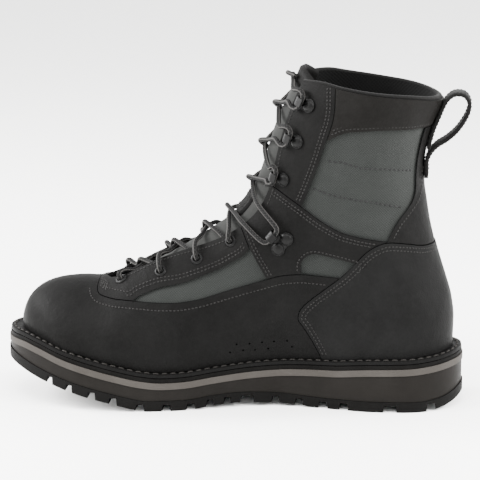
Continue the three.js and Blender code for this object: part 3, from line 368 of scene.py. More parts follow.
# The boot's form, in mm from the back end of the sole, as in the CAD
sole = {
    "length": 311, "ballWidth": 113.4, "heelWidth": 81, "heelRound": 36, "toeRound": 61, "heelLift": 27,
    "ballLift": 16.8, "toeSpring": 26.5, "heelBevel": 8, "archLift": 3.1, "outsoleThick": 6.8,
    "stripThick": 4.4, "weltThick": 2.6, "flangeThick": 2.4, "midsoleInset": 0.8, "stripInset": 0.2,
    "weltInset": 0.9, "flangeInset": 1.3,
}
last = {
    "toeHeight": 79.5, "shaftHeight": 223, "wall": 2.2, "featherBack": 9.2, "featherToe": 11.2,
    "featherSide": 7.6, "heelHalf": 34, "ankleHalf": 37.5, "collarHalf": 45.5, "bellyOut": 2.4,
    "bellySpan": 44, "throatHalf": 17, "throatTopHalf": 26, "tongueThick": 4.2, "tongueHalf": 27,
    "tongueRise": 4.5, "gap": 0.3,
}
outlineRows = [  # at, ball, heel, middle
    (0, 0, 0.455, 0), (0.064, 0, 0.463, 0), (0.129, 0, 0.494, 0),
    (0.193, 0, 0.502, -0.002), (0.257, 0.045, 0.42, -0.02), (0.322, 0.11, 0.306, -0.042),
    (0.386, 0.17, 0.222, -0.06), (0.45, 0.245, 0.15, -0.062), (0.514, 0.33, 0.094, -0.053),
    (0.579, 0.41, 0.046, -0.037), (0.643, 0.47, 0.015, -0.022), (0.74, 0.5, 0, -0.006),
    (0.836, 0.468, 0, 0), (0.932, 0.41, 0, 0.013), (1, 0.388, 0, 0.018),
]
treadRows = [  # at, bevel, arch, spring
    (0, 1, 0, 0), (0.02, 0.56, 0, 0), (0.048, 0.2, 0, 0), (0.09, 0, 0, 0), (0.296, 0, 0, 0),
    (0.354, 0, 0.4, 0), (0.418, 0, 0.84, 0), (0.482, 0, 1, 0), (0.54, 0, 0.62, 0),
    (0.588, 0, 0, 0), (0.675, 0, 0, 0), (0.708, 0, 0, 0.075), (0.757, 0, 0, 0.21), (0.81, 0, 0, 0.345),
    (0.865, 0, 0, 0.51), (0.92, 0, 0, 0.69), (0.965, 0, 0, 0.865), (1, 0, 0, 1),
]
stripRows = [  # at, heel, ball, spring
    (0, 1.165, 0, 0), (0.032, 1.11, 0, 0), (0.071, 1.05, 0, 0), (0.129, 1.005, 0, 0), (0.2, 0.98, 0, 0),
    (0.28, 0.895, 0, 0), (0.35, 0.76, 0.18, 0), (0.42, 0.57, 0.415, 0), (0.48, 0.39, 0.62, 0),
    (0.54, 0.19, 0.83, 0), (0.6, 0, 1.01, 0), (0.645, 0, 1, 0), (0.69, 0, 1.01, 0.055),
    (0.74, 0, 1.02, 0.18), (0.8, 0, 1.03, 0.335), (0.865, 0, 1.04, 0.52), (0.92, 0, 1.04, 0.715),
    (0.96, 0, 0.96, 0.855), (1, 0, 0.76, 0.985),
]
frontRows = [  # at, toe, shaft, round
    (0.964, 0.58, 0, 0.4), (0.9646, 0.655, 0, 0.41), (0.9595, 0.742, 0, 0.42),
    (0.9495, 0.824, 0, 0.43), (0.933, 0.893, 0, 0.43), (0.911, 0.943, 0, 0.43),
    (0.882, 0.976, 0, 0.43), (0.84, 0.994, 0, 0.42), (0.783, 1, 0, 0.42),
    (0.726, 0.93, 0.065, 0.46), (0.675, 0.8, 0.153, 0.51), (0.617, 0.62, 0.259, 0.54),
    (0.559, 0.45, 0.364, 0.55), (0.511, 0.3, 0.465, 0.54), (0.476, 0.18, 0.559, 0.52),
    (0.455, 0.08, 0.651, 0.49), (0.44, 0, 0.744, 0.46), (0.419, 0, 0.834, 0.44),
    (0.395, 0, 0.919, 0.43), (0.37, 0, 1, 0.43), (0.35, 0, 1.06, 0.43),
]
vampRow, collarRow = 8, 19
backRows = [  # up, at
    (0.13, 0.0309), (0.2, 0.0296), (0.26, 0.0286), (0.32, 0.0338), (0.38, 0.046), (0.44, 0.0598),
    (0.5, 0.0723), (0.56, 0.0823), (0.62, 0.0894), (0.68, 0.0952), (0.74, 0.0952), (0.8, 0.0884),
    (0.87, 0.074), (0.95, 0.0563), (1.05, 0.0418),
]
shaftRows = [  # up, heel, ankle, collar
    (0.14, 1, 0, 0), (0.24, 1.06, 0, 0), (0.38, 0.6, 0.38, 0), (0.52, 0, 1, 0),
    (0.66, 0, 0.65, 0.33), (0.82, 0, 0.2, 0.78), (0.95, 0, 0, 1), (1.06, 0, 0, 1.01),
]
collarRows = [(0, 0.93), (0.2, 0.945), (0.45, 0.957), (0.7, 0.972), (0.88, 0.986), (1, 0.992)]
clamp = lambda value: np.clip(value, 0.0, 1.0)
mix = lambda start, end, share: start + (end - start) * share


def unit(vectors):
    return vectors / np.maximum(1e-9, np.linalg.norm(vectors, axis=-1, keepdims=True))


def lengthsAlong(line):
    return np.concatenate([[0], np.cumsum(np.linalg.norm(np.diff(line, axis=0), axis=1))])


def ease(share):
    inside = clamp(share)
    return inside * inside * (3 - 2 * inside)


def tableLine(along, values):
    # a smooth line through a table that never swings past its rows
    along, values = np.array(along, float), np.array(values, float)
    slopes = np.diff(values) / np.diff(along)
    tangents = np.zeros(len(values))
    tangents[0], tangents[-1] = slopes[0], slopes[-1]
    for i in range(1, len(slopes)):
        product = slopes[i - 1] * slopes[i]
        tangents[i] = 2 * product / (slopes[i - 1] + slopes[i]) if product > 0 else 0.0

    def line(place):
        inside = np.clip(np.asarray(place, float), along[0], along[-1])
        i = np.clip(np.searchsorted(along, inside) - 1, 0, len(along) - 2)
        span = along[i + 1] - along[i]
        t = (inside - along[i]) / span
        return (values[i] * (1 + 2 * t) * (1 - t) ** 2 + values[i + 1] * t * t * (3 - 2 * t)
                + span * t * (1 - t) * (tangents[i] * (1 - t) - tangents[i + 1] * t))
    return line


def roundOff(depth):
    depth = np.asarray(depth, float)
    return np.where(depth < 1e-6, 0.0, np.sqrt(np.maximum(0.0, 1 - (1 - clamp(depth)) ** 2)))


def column(rows, *weights):
    return [sum(row[i + 1] * weight for i, weight in enumerate(weights)) for row in rows]


places = lambda rows: [row[0] for row in rows]
soleHalf = tableLine(places(outlineRows), column(outlineRows, sole["ballWidth"], sole["heelWidth"]))
soleMiddle = tableLine(places(outlineRows), column(outlineRows, 0, 0, sole["ballWidth"]))
treadHeight = tableLine(places(treadRows),
                        column(treadRows, sole["heelBevel"], sole["archLift"], sole["toeSpring"]))
stripHeight = tableLine(places(stripRows),
                        column(stripRows, sole["heelLift"], sole["ballLift"], sole["toeSpring"]))
outsoleTop = lambda x: treadHeight(x / sole["length"]) + sole["outsoleThick"]
midsoleTop = lambda x: stripHeight(x / sole["length"]) - sole["stripThick"] / 2
stripTop = lambda x: stripHeight(x / sole["length"]) + sole["stripThick"] / 2
weltTop = lambda x: stripTop(x) + last["gap"] + sole["weltThick"]
flangeTop = lambda x: weltTop(x) + last["gap"] + sole["flangeThick"]


def outlineAt(share, back, side, toe):
    x = mix(back, sole["length"] - toe, np.asarray(share, float))
    half = ((soleHalf(x / sole["length"]) - side) * roundOff((x - back) / (sole["heelRound"] - back))
            * roundOff((sole["length"] - toe - x) / (sole["toeRound"] - toe)))
    middle = soleMiddle(x / sole["length"])
    return x, middle + half, middle - half


def smoothCurve(points, t):
    # centripetal curve through all the points, t from 0 to 1
    points = np.array(points, float)
    count = len(points)
    place = (count - 1) * t
    i = min(int(place), count - 2)
    w = place - i
    p1, p2 = points[i], points[i + 1]
    p0 = points[i - 1] if i > 0 else 2 * points[0] - points[1]
    p3 = points[i + 2] if i + 2 < count else 2 * points[-1] - points[-2]
    d0, d1, d2 = (max(1e-4, math.sqrt(np.linalg.norm(b - a))) for a, b in ((p0, p1), (p1, p2), (p2, p3)))
    first = ((p1 - p0) / d0 - (p2 - p0) / (d0 + d1) + (p2 - p1) / d1) * d1
    second = ((p2 - p1) / d1 - (p3 - p1) / (d1 + d2) + (p3 - p2) / d2) * d1
    return (p1 + first * w + (-3 * p1 + 3 * p2 - 2 * first - second) * w ** 2
            + (2 * p1 - 2 * p2 + first + second) * w ** 3)


toeTip = sole["length"] - last["featherToe"]
frontPoints = [(at * sole["length"], toe * last["toeHeight"] + shaft * last["shaftHeight"])
               for at, toe, shaft, _ in frontRows]
frontPoints[0] = (toeTip, float(flangeTop(toeTip)))
frontSteps = 480
frontXZ = np.array([smoothCurve(frontPoints, i / frontSteps) for i in range(frontSteps + 1)])
frontRound = tableLine(range(len(frontRows)), [row[3] * sole["ballWidth"] for row in frontRows])(
    np.linspace(0, len(frontRows) - 1, frontSteps + 1))
frontWay = unit(np.gradient(frontXZ, axis=0))
frontNormal = np.stack([frontWay[:, 1], -frontWay[:, 0]], axis=1)
frontLength = lengthsAlong(frontXZ)
lengthAtRow = lambda row: frontLength[round(row / (len(frontRows) - 1) * frontSteps)]
vampLength, collarLength = lengthAtRow(vampRow), lengthAtRow(collarRow)


def nearestFront(x, z):
    # distance to the front line, and the rounding and length where it is nearest
    x, z = np.broadcast_arrays(np.asarray(x, float), np.asarray(z, float))
    flat = np.stack([x.ravel(), z.ravel()], axis=1)
    start, step = frontXZ[:-1], np.diff(frontXZ, axis=0)
    square = (step ** 2).sum(axis=1)
    distance, rounding, length = (np.empty(len(flat)) for _ in range(3))
    for low in range(0, len(flat), 4000):
        part = flat[low:low + 4000]
        away = part[:, None, :] - start[None, :, :]
        share = clamp((away * step).sum(axis=2) / square)
        gaps = np.linalg.norm(away - share[:, :, None] * step, axis=2)
        best = gaps.argmin(axis=1)
        rows = np.arange(len(part))
        distance[low:low + 4000] = gaps[rows, best]
        bestShare = share[rows, best]
        rounding[low:low + 4000] = mix(frontRound[best], frontRound[best + 1], bestShare)
        length[low:low + 4000] = mix(frontLength[best], frontLength[best + 1], bestShare)
    return distance.reshape(x.shape), rounding.reshape(x.shape), length.reshape(x.shape)


backHeights = [row[0] * last["shaftHeight"] for row in backRows]
backLine = tableLine(backHeights, [row[1] * sole["length"] for row in backRows])
# where the foot's width gives way to the shaft's, and how round the back is: from, and over how many mm
turnOver = {"upward": (45, 75), "forward": (235, 85), "middle": (40, 70), "back": (60, 110), "backRound": (33, 50)}
rising = lambda value, key: ease((value - turnOver[key][0]) / turnOver[key][1])
backRoundAt = lambda z: mix(*turnOver["backRound"], rising(z, "back"))
shaftHalf = tableLine([row[0] * last["shaftHeight"] for row in shaftRows],
                      column(shaftRows, last["heelHalf"], last["ankleHalf"], last["collarHalf"]))


def formHalf(x, z):
    belly = last["bellyOut"] * np.sin(np.pi * clamp((z - flangeTop(x)) / last["bellySpan"]))
    foot = soleHalf(x / sole["length"]) - last["featherSide"] + belly
    start, over = turnOver["forward"]
    return mix(foot, shaftHalf(z), rising(z, "upward") * ease((start - x) / over))


formMiddle = lambda x, z: soleMiddle(x / sole["length"]) * (1 - rising(z, "middle"))


def formPoint(x, z, side):
    x, z = np.asarray(x, float), np.asarray(z, float)
    distance, rounding, _ = nearestFront(x, z)
    half = formHalf(x, z) * roundOff(distance / rounding) * roundOff((x - backLine(z)) / backRoundAt(z))
    return np.stack([x, formMiddle(x, z) + side * half, z], axis=-1)


def formNormal(x, z, side):
    alongX = formPoint(x + 0.6, z, side) - formPoint(x - 0.6, z, side)
    alongZ = formPoint(x, z + 0.6, side) - formPoint(x, z - 0.6, side)
    return unit(np.cross(alongZ, alongX) * side)


def frontAt(length):
    columns = (frontXZ[:, 0], frontXZ[:, 1], frontNormal[:, 0], frontNormal[:, 1], frontRound)
    return [np.interp(length, frontLength, values) for values in columns]


def frontSurface(length, off):
    stepX, stepZ, nx, nz, rounding = frontAt(length)
    depth = rounding * (1 - np.sqrt(np.maximum(0, 1 - (off / formHalf(stepX, stepZ)) ** 2)))
    x, z = stepX - nx * depth, stepZ - nz * depth
    return np.stack(np.broadcast_arrays(x, formMiddle(x, z) + off, z), axis=-1)


def throatHalfAt(length):
    upward = ease(((length - vampLength) / (collarLength - vampLength) - 0.2) / 0.5)
    return mix(last["throatHalf"], last["throatTopHalf"], upward) * roundOff(clamp((length - vampLength) / 24))


# Meshes from grids of points
def place(points):
    moved = np.array(points, float) / 1000.0
    moved[..., 0] -= heelRestAt / 1000.0
    return moved


def meshObject(name, points, faces, material, slots=None, faceSlots=None, smooth=40.0):
    mesh = bpy.data.meshes.new(name)
    mesh.from_pydata([tuple(point) for point in place(points)], [], faces)
    obj = bpy.data.objects.new(name, mesh)
    bpy.context.scene.collection.objects.link(obj)
    for slot in [material] + (slots or []):
        mesh.materials.append(finishes[slot])
    if faceSlots is not None:
        mesh.polygons.foreach_set("material_index", faceSlots)
    tidyMesh(obj, smooth)
    return obj


def tidyMesh(obj, smooth=40.0):
    work = bmesh.new()
    work.from_mesh(obj.data)
    bmesh.ops.remove_doubles(work, verts=work.verts, dist=2e-6)
    bmesh.ops.dissolve_degenerate(work, edges=work.edges, dist=1e-6)
    work.to_mesh(obj.data)
    work.free()
    smoothByAngle(obj, smooth)


def faceOutwards(obj):
    work = bmesh.new()
    work.from_mesh(obj.data)
    bmesh.ops.recalc_face_normals(work, faces=work.faces)
    work.to_mesh(obj.data)
    work.free()
    return obj


def smoothByAngle(obj, angle=40.0):
    deselectAll()
    obj.select_set(True)
    bpy.context.view_layer.objects.active = obj
    bpy.ops.object.shade_smooth_by_angle(angle=math.radians(angle))
    deselectAll()


def applyModifiers(obj):
    deselectAll()
    obj.select_set(True)
    bpy.context.view_layer.objects.active = obj
    for modifier in list(obj.modifiers):
        bpy.ops.object.modifier_apply(modifier=modifier.name)
    deselectAll()


def keep(obj, node=None):
    # every piece rides on the boot's one body; node names the CAD solid that it stands for
    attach(obj, "root")
    if node:
        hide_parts(node)
    return obj


def gridFaces(rows, columns, start=0, flip=False):
    faces = []
    for i in range(rows - 1):
        for j in range(columns - 1):
            a = start + i * columns + j
            quad = (a, a + columns, a + columns + 1, a + 1)
            faces.append(quad[::-1] if flip else quad)
    return faces


def ringFaces(first, second):
    # a strip between two rows of point numbers
    return [(first[i], first[i + 1], second[i + 1], second[i]) for i in range(len(first) - 1)]


def tubeFaces(rings, around, start=0):
    # the sides of rings of points that follow one another
    return [(start + i * around + k, start + i * around + (k + 1) % around,
             start + (i + 1) * around + (k + 1) % around, start + (i + 1) * around + k)
            for i in range(rings - 1) for k in range(around)]


counts = {"collar": 26, "throat": 44, "toe": 24, "levels": 46}


def ribEnds():
    ends = []
    collarFoot, vampFoot = 0.13, 0.785
    corner = frontSurface(collarLength, throatHalfAt(collarLength))
    cornerUp = tableLine(places(collarRows), [row[1] * last["shaftHeight"] for row in collarRows])
    backX = backLine(collarRows[0][1] * last["shaftHeight"])
    for i in range(counts["collar"] + 1):
        share = i / counts["collar"]
        across = (1 - math.cos(math.pi * share)) / 2
        ends.append((collarFoot * share ** 2, mix(backX, corner[0], across),
                     mix(cornerUp(across), corner[2], ease(across * 4 - 3)), 0.0))
    for i in range(1, counts["throat"] + 1):
        share = i / counts["throat"]
        length = mix(collarLength, vampLength, share)
        edge = frontSurface(length, throatHalfAt(length))
        ends.append((mix(collarFoot, vampFoot, share ** 1.15), edge[0], edge[2], share))
    for i in range(1, counts["toe"] + 1):
        share = math.sin(math.pi / 2 * i / counts["toe"])
        edge = frontAt(vampLength * (1 - share))
        ends.append((mix(vampFoot, 1, share), edge[0], edge[1], 1.0))
    return [tuple(float(value) for value in end) for end in ends]


def ribSide(side):
    ribs = []
    levels = np.arange(counts["levels"] + 1) / counts["levels"]
    for footShare, endX, endZ, closed in ribEnds():
        edgeX, edgeMedial, edgeLateral = outlineAt(footShare, *[sole["flangeInset"]] * 3)
        footX = mix(last["featherBack"], sole["length"] - last["featherToe"], footShare)
        footZ = float(flangeTop(footX))
        share = mix(levels, np.sin(np.pi / 2 * levels), 0.75 * closed)
        z = mix(footZ, endZ, share)
        footOff = max(footX - float(backLine(footZ)), footX - last["featherBack"])
        x = backLine(z) + mix(footOff, endX - backLine(endZ), share)
        wall = formPoint(x, z, side)
        edge = np.array([edgeX, edgeMedial if side > 0 else edgeLateral, flangeTop(edgeX)], float)
        bend = [mix(edge, wall[0], share) for share in (0.0, 0.5)]
        ribs.append(np.vstack([bend, wall]))
    return ribs


flangeRows = 2  # points on the turned-out edge before the wall starts
formSheet = np.array(ribSide(1)[::-1] + ribSide(-1)[1:])
wallSheet = formSheet[:, flangeRows:]


def sheetNormals(sheet):
    # outward directions of a sheet of points; points at one place share theirs
    early, late = slice(None, -1), slice(1, None)
    sums = np.zeros(sheet.shape)
    for spots in (((early, early), (early, late), (late, late)), ((early, early), (late, late), (late, early))):
        a, b, c = (sheet[spot] for spot in spots)
        for spot in spots:
            sums[spot] += np.cross(c - a, b - a)
    _, same = np.unique(np.round(sheet.reshape(-1, 3), 3), axis=0, return_inverse=True)
    same = same.ravel()
    joined = np.zeros((same.max() + 1, 3))
    np.add.at(joined, same, sums.reshape(-1, 3))
    return unit(joined[same]).reshape(sheet.shape)


# Creases worked into the form: start and end in side view (mm), depth and width.
creases = [
    {"from": (214, 60), "to": (196, 74), "depth": 0.55, "wide": 3.4},
    {"from": (204, 54), "to": (184, 70), "depth": 0.65, "wide": 3.8},
    {"from": (192, 50), "to": (172, 64), "depth": 0.45, "wide": 3.6},
    {"from": (150, 88), "to": (132, 96), "depth": 0.45, "wide": 3.6},
    {"from": (112, 150), "to": (86, 158), "depth": 0.55, "wide": 5.0},
    {"from": (104, 172), "to": (70, 176), "depth": 0.45, "wide": 5.5},
    {"from": (60, 132), "to": (40, 140), "depth": 0.40, "wide": 4.5},
]


def creaseDepth(x, z):
    total = np.zeros(np.shape(x))
    for crease in creases:
        start, end = np.array(crease["from"], float), np.array(crease["to"], float)
        way = end - start
        share = clamp(((x - start[0]) * way[0] + (z - start[1]) * way[1]) / (way ** 2).sum())
        away = np.hypot(x - start[0] - share * way[0], z - start[1] - share * way[1])
        total += crease["depth"] * np.exp(-(away / crease["wide"]) ** 2)
    return total


cuffSwell = {"high": 1.5, "from": 191.0, "to": 219.0, "front": 95.0, "fade": 12.0}


def swellAt(x, z):
    # the cuff's padding, fullest between its lower seam and the collar
    share = clamp((z - cuffSwell["from"]) / (cuffSwell["to"] - cuffSwell["from"]))
    return cuffSwell["high"] * np.sin(np.pi * share) ** 0.8 * ease((cuffSwell["front"] - x) / cuffSwell["fade"])


def offsetSheet(sheet, normals, distance, swell=False):
    x, z = sheet[..., 0], sheet[..., 2]
    lift = distance - creaseDepth(x, z) + (swellAt(x, z) if swell else 0.0)
    return sheet + normals * np.broadcast_to(lift, sheet.shape[:2])[..., None]


def closedShell(name, inside, outside, materials, slotOf=None):
    ribs, levels = outside.shape[:2]
    count = ribs * levels
    points = np.vstack([outside.reshape(-1, 3), inside.reshape(-1, 3)])
    outer = gridFaces(ribs, levels)
    inner = gridFaces(ribs, levels, count, flip=True)
    index = lambda i, j, layer: layer * count + i * levels + j
    low = ringFaces([index(i, 0, 1) for i in range(ribs)], [index(i, 0, 0) for i in range(ribs)])
    rim = []
    for i in range(ribs - 1):
        other = ribs - 1 - i
        apart = [np.linalg.norm(outside[a, -1] - outside[b, -1]) for a, b in ((i, other), (i + 1, other - 1))]
        if max(apart) >= 0.01:  # below the throat both sides meet, and no rim is needed
            rim.append((index(i, levels - 1, 0), index(i + 1, levels - 1, 0),
                        index(i + 1, levels - 1, 1), index(i, levels - 1, 1)))
    faces = outer + inner + low + rim
    faceSlots = None
    if slotOf:
        faceSlots = ([slotOf("outer", k % (levels - 1)) for k in range(len(outer))]
                     + [slotOf("inner", k % (levels - 1)) for k in range(len(inner))]
                     + [slotOf("low", 0)] * len(low) + [slotOf("rim", 0)] * len(rim))
    return meshObject(name, points, faces, materials[0], materials[1:], faceSlots)


def makeUpper():
    normals = sheetNormals(formSheet)
    outside = offsetSheet(formSheet, normals, 0.0)
    outside[:, 0] = formSheet[:, 0]
    inside = offsetSheet(formSheet, normals, -last["wall"])
    slots = {"outer": 0, "inner": 1, "low": 2, "rim": 3}
    slotOf = lambda part, level: 2 if part in ("outer", "inner") and level < flangeRows else slots[part]
    return closedShell("upper_body", inside, outside, ["upper", "lining", "leather", "cutEdge"], slotOf)


keep(makeUpper(), "upper")
print("upper: form, lining and turned-out edge")

# Leather pieces over the form: outlines in side view, at along the sole, up the shaft
overlayLook = {"round": 5.0, "seamGap": 0.6, "overFlange": 0.5, "reach": 90.0, "split": 0.1}
outlines = {
    "counter": [(0.3, 0), (0.303, 0.15), (0.327, 0.212), (0.344, 0.249), (0.355, 0.267), (0.351, 0.299),
                (0.327, 0.331), (0.292, 0.37), (0.258, 0.409), (0.234, 0.445), (0.211, 0.483), (0.188, 0.505),
                (0.165, 0.516), (0.122, 0.507), (0.086, 0.493), (-1.3, 0.486), (-1.3, 0)],
    "guard": [(0.25, 0), (0.25, 0.4), (0.35, 0.411), (0.393, 0.404), (0.443, 0.382), (0.497, 0.359),
              (0.563, 0.33), (0.605, 0.32), (0.65, 0.319), (0.705, 0.322), (0.76, 0.322), (0.797, 0.33),
              (0.8, 0.6), (1.3, 0.6), (1.3, 0)],
    "lowerFacing": [(0.8, 0.32), (0.712, 0.32), (0.7, 0.337), (0.652, 0.365), (0.606, 0.376),
                    (0.572, 0.392), (0.519, 0.423), (0.465, 0.47), (0.44, 0.56), (0.47, 0.62),
                    (0.56, 0.8), (0.8, 0.6)],
    "band": [(0.44, 0.69), (0.405, 0.669), (0.35, 0.622), (0.305, 0.577), (0.262, 0.543), (0.22, 0.529),
             (0.15, 0.514), (0.18, 0.42), (0.27, 0.36), (0.408, 0.36), (0.438, 0.434), (0.456, 0.478),
             (0.48, 0.55), (0.56, 0.64), (0.5, 0.75)],
    "window": [(0.346, 0.38), (0.35, 0.452), (0.326, 0.482), (0.281, 0.468), (0.222, 0.447), (0.25, 0.38)],
    "shaftFacing": [(0.277, 1.3), (0.277, 0.92), (0.281, 0.88), (0.296, 0.817), (0.316, 0.729), (0.348, 0.615),
                    (0.44, 0.64), (0.52, 0.7), (0.52, 1.3)],
    "cuff": [(0.31, 1.3), (0.31, 0.815), (0.292, 0.822), (0.272, 0.838), (0.251, 0.85), (0.178, 0.855),
             (0.116, 0.851), (-1.3, 0.852), (-1.3, 1.3)],
    "backstay": [(0.165, 0.49), (0.165, 0.516), (0.145, 0.572), (0.125, 0.605), (0.111, 0.632), (0.106, 0.664),
                 (0.107, 0.709), (0.104, 0.753), (0.096, 0.812), (0.084, 0.87), (-1.3, 0.87), (-1.3, 0.47)],
}
thickness = {"counter": 1.9, "guard": 1.4, "band": 1.7, "lowerFacing": 1.7, "shaftFacing": 1.7, "cuff": 1.4,
             "backstay": 1.4}


def sideOutline(name):
    # the outline in mm, each corner rounded as leather is cut
    rows = np.array([(at * sole["length"], up * last["shaftHeight"]) for at, up in outlines[name]])
    points = []
    for i, corner in enumerate(rows):
        before, after = rows[i - 1], rows[(i + 1) % len(rows)]
        reach = [min(0.45 * np.linalg.norm(other - corner), overlayLook["round"]) for other in (before, after)]
        start = corner + (before - corner) / max(1e-6, np.linalg.norm(before - corner)) * reach[0]
        end = corner + (after - corner) / max(1e-6, np.linalg.norm(after - corner)) * reach[1]
        for t in (0.0, 0.25, 0.5, 0.75, 1.0):
            points.append((1 - t) ** 2 * start + 2 * t * (1 - t) * corner + t * t * end)
    return np.array(points)


def growOutline(points, size):
    nextPoints, before = np.roll(points, -1, axis=0), np.roll(points, 1, axis=0)
    turn = np.sign((points[:, 0] * nextPoints[:, 1] - nextPoints[:, 0] * points[:, 1]).sum())
    first, second = unit(points - before), unit(nextPoints - points)
    way = np.stack([first[:, 1] + second[:, 1], -first[:, 0] - second[:, 0]], axis=1) * turn
    length = np.linalg.norm(way, axis=1, keepdims=True)
    return points + unit(way) * size / np.maximum(0.5, length / 2)


def makePrism(name, outline, low, high):
    count = len(outline)
    points = [(x, low, z) for x, z in outline] + [(x, high, z) for x, z in outline]
    faces = [tuple(range(count)), tuple(range(2 * count - 1, count - 1, -1))]
    faces += [(i, i + count, (i + 1) % count + count, (i + 1) % count) for i in range(count)]
    return faceOutwards(meshObject(name, points, faces, "cutEdge"))


def cutWith(obj, cutter, operation):
    modifier = obj.modifiers.new("cut", "BOOLEAN")
    modifier.operation = operation
    modifier.object = cutter
    modifier.solver = "MANIFOLD"
    modifier.material_mode = "TRANSFER"
    applyModifiers(obj)
    bpy.data.objects.remove(cutter)


def soleShape(name, lower, upper, inset, finish, steps=96):
    # a solid inside the sole's outline, between two heights
    shares = (1 - np.cos(np.pi * np.arange(steps + 1) / steps)) / 2
    x, medial, lateral = outlineAt(shares, inset, inset, inset)
    low, high = lower(x), upper(x)
    corners = ((medial, low), (medial, high), (lateral, high), (lateral, low))
    points = np.stack([np.stack([x, y, z], axis=1) for y, z in corners], axis=1).reshape(-1, 3)
    return meshObject(name, points, tubeFaces(steps + 1, 4), finish)


wallNormals = sheetNormals(wallSheet)


def overlayPiece(name, outlineName, covers, material, side=0, hole=None):
    thick = thickness[outlineName]
    inside = offsetSheet(wallSheet, wallNormals, last["gap"] * 0.5)
    outside = offsetSheet(wallSheet, wallNormals, last["gap"] + thick, outlineName == "cuff")
    obj = closedShell(name, inside, outside, [material])
    far, split = overlayLook["reach"], overlayLook["split"]
    low, high = (split if side > 0 else -far), (-split if side < 0 else far)
    cutWith(obj, makePrism("cutter", sideOutline(outlineName), low, high), "INTERSECT")
    away = [growOutline(sideOutline(cover), overlayLook["seamGap"]) for cover in covers]
    away += [sideOutline(hole)] if hole else []
    for outline in away:
        cutWith(obj, makePrism("cutter", outline, -far, far), "DIFFERENCE")
    overFlange = lambda x: flangeTop(x) + overlayLook["overFlange"]
    cutWith(obj, soleShape("cutter", lambda x: 0 * x, overFlange, -4.0, "cutEdge", 80), "DIFFERENCE")
    smoothByAngle(obj, 45.0)
    return obj


# Small air holes through the guard, on the medial side only: place along the sole and height, mm
vents = {"upper": [(151.4, 42.6), (142.9, 42.5), (134.6, 43.3), (126.6, 43.8), (117.8, 44.4)],
         "lower": [(155.7, 37.1), (147.2, 38.0), (139.3, 38.0), (130.6, 38.7), (114.5, 40.2)], "radius": 0.7}


def punchVents(obj):
    for x, z in vents["upper"] + vents["lower"]:
        ring = [(x + vents["radius"] * math.cos(k * math.pi / 7), z + vents["radius"] * math.sin(k * math.pi / 7))
                for k in range(14)]
        cutWith(obj, makePrism("vent", np.array(ring), 10, 90), "DIFFERENCE")
    smoothByAngle(obj, 45.0)


overlays = [  # piece, outline, covered by, finish, side, hole, CAD node
    ("counter_leather", "counter", [], "counter", 0, None, "heel_counter"),
    ("guard_leather", "guard", ["counter"], "leather", 0, None, "vamp_guard"),
    ("cuff_padding", "cuff", ["shaftFacing"], "cuff_leather", 0, None, "cuff"),
    ("backstay_leather", "backstay", ["counter", "cuff"], "leather", 0, None, "backstay"),
]
sides = (("medial", 1), ("lateral", -1))
for sideName, side in sides:
    for name, outlineName, covers, hole, node in (
            ("band", "band", ["counter", "guard"], "window", "ankle_band"),
            ("lace_stay", "lowerFacing", ["guard", "band"], None, "lower_facing"),
            ("shaft_stay", "shaftFacing", ["band"], None, "shaft_facing")):
        overlays.append((f"{name}_{sideName}", outlineName, covers, "leather", side, hole, f"{node}_{sideName}"))
for name, outlineName, covers, material, side, hole, node in overlays:
    piece = overlayPiece(name, outlineName, covers, material, side, hole)
    if outlineName == "guard":
        punchVents(piece)
    keep(piece, node)
print("leather pieces:", len(overlays))


# Stitches follow the form, set in from the edges of the leather
def onForm(x, z, side, lift):
    x, z = np.broadcast_arrays(np.asarray(x, float), np.asarray(z, float))
    return formPoint(x, z, side) + formNormal(x, z, side) * (lift - creaseDepth(x, z))[..., None]


def resample(line, step):
    line = np.asarray(line, float)
    lengths = lengthsAlong(line)
    at = np.linspace(0, lengths[-1], max(2, int(lengths[-1] / step) + 1))
    return np.stack([np.interp(at, lengths, line[:, k]) for k in range(line.shape[1])], axis=1)


def insideOutline(points, outline):
    x, z = points[:, 0], points[:, 1]
    inside = np.zeros(len(points), bool)
    for (x0, z0), (x1, z1) in zip(outline, np.roll(outline, -1, axis=0)):
        crosses = (z0 > z) != (z1 > z)
        inside ^= crosses & (x < (x1 - x0) * (z - z0) / (z1 - z0 + 1e-12) + x0)
    return inside


stitchLook = {"pitch": 2.5, "length": 1.75, "wide": 0.46, "high": 0.30}
weltStitchLook = {"pitch": 5.8, "length": 4.0, "wide": 0.78, "high": 0.48, "inset": 4.0, "lift": 0.25}
quiltLook = {"pitch": 3.4, "length": 2.3, "wide": 0.5, "high": 0.28}


def stitchesAlong(points, normals, look):
    # centre, direction, outward and sideways of each stitch on a line of points
    lengths = lengthsAlong(points)
    count = int(lengths[-1] / look["pitch"])
    if count < 1:
        return None
    at = (np.arange(count) + 0.5) * lengths[-1] / count
    pick = lambda values, where: np.stack([np.interp(where, lengths, values[:, k]) for k in range(3)], axis=1)
    way, out = unit(pick(points, at + 0.8) - pick(points, at - 0.8)), unit(pick(normals, at))
    return pick(points, at), way, out, np.cross(out, way)


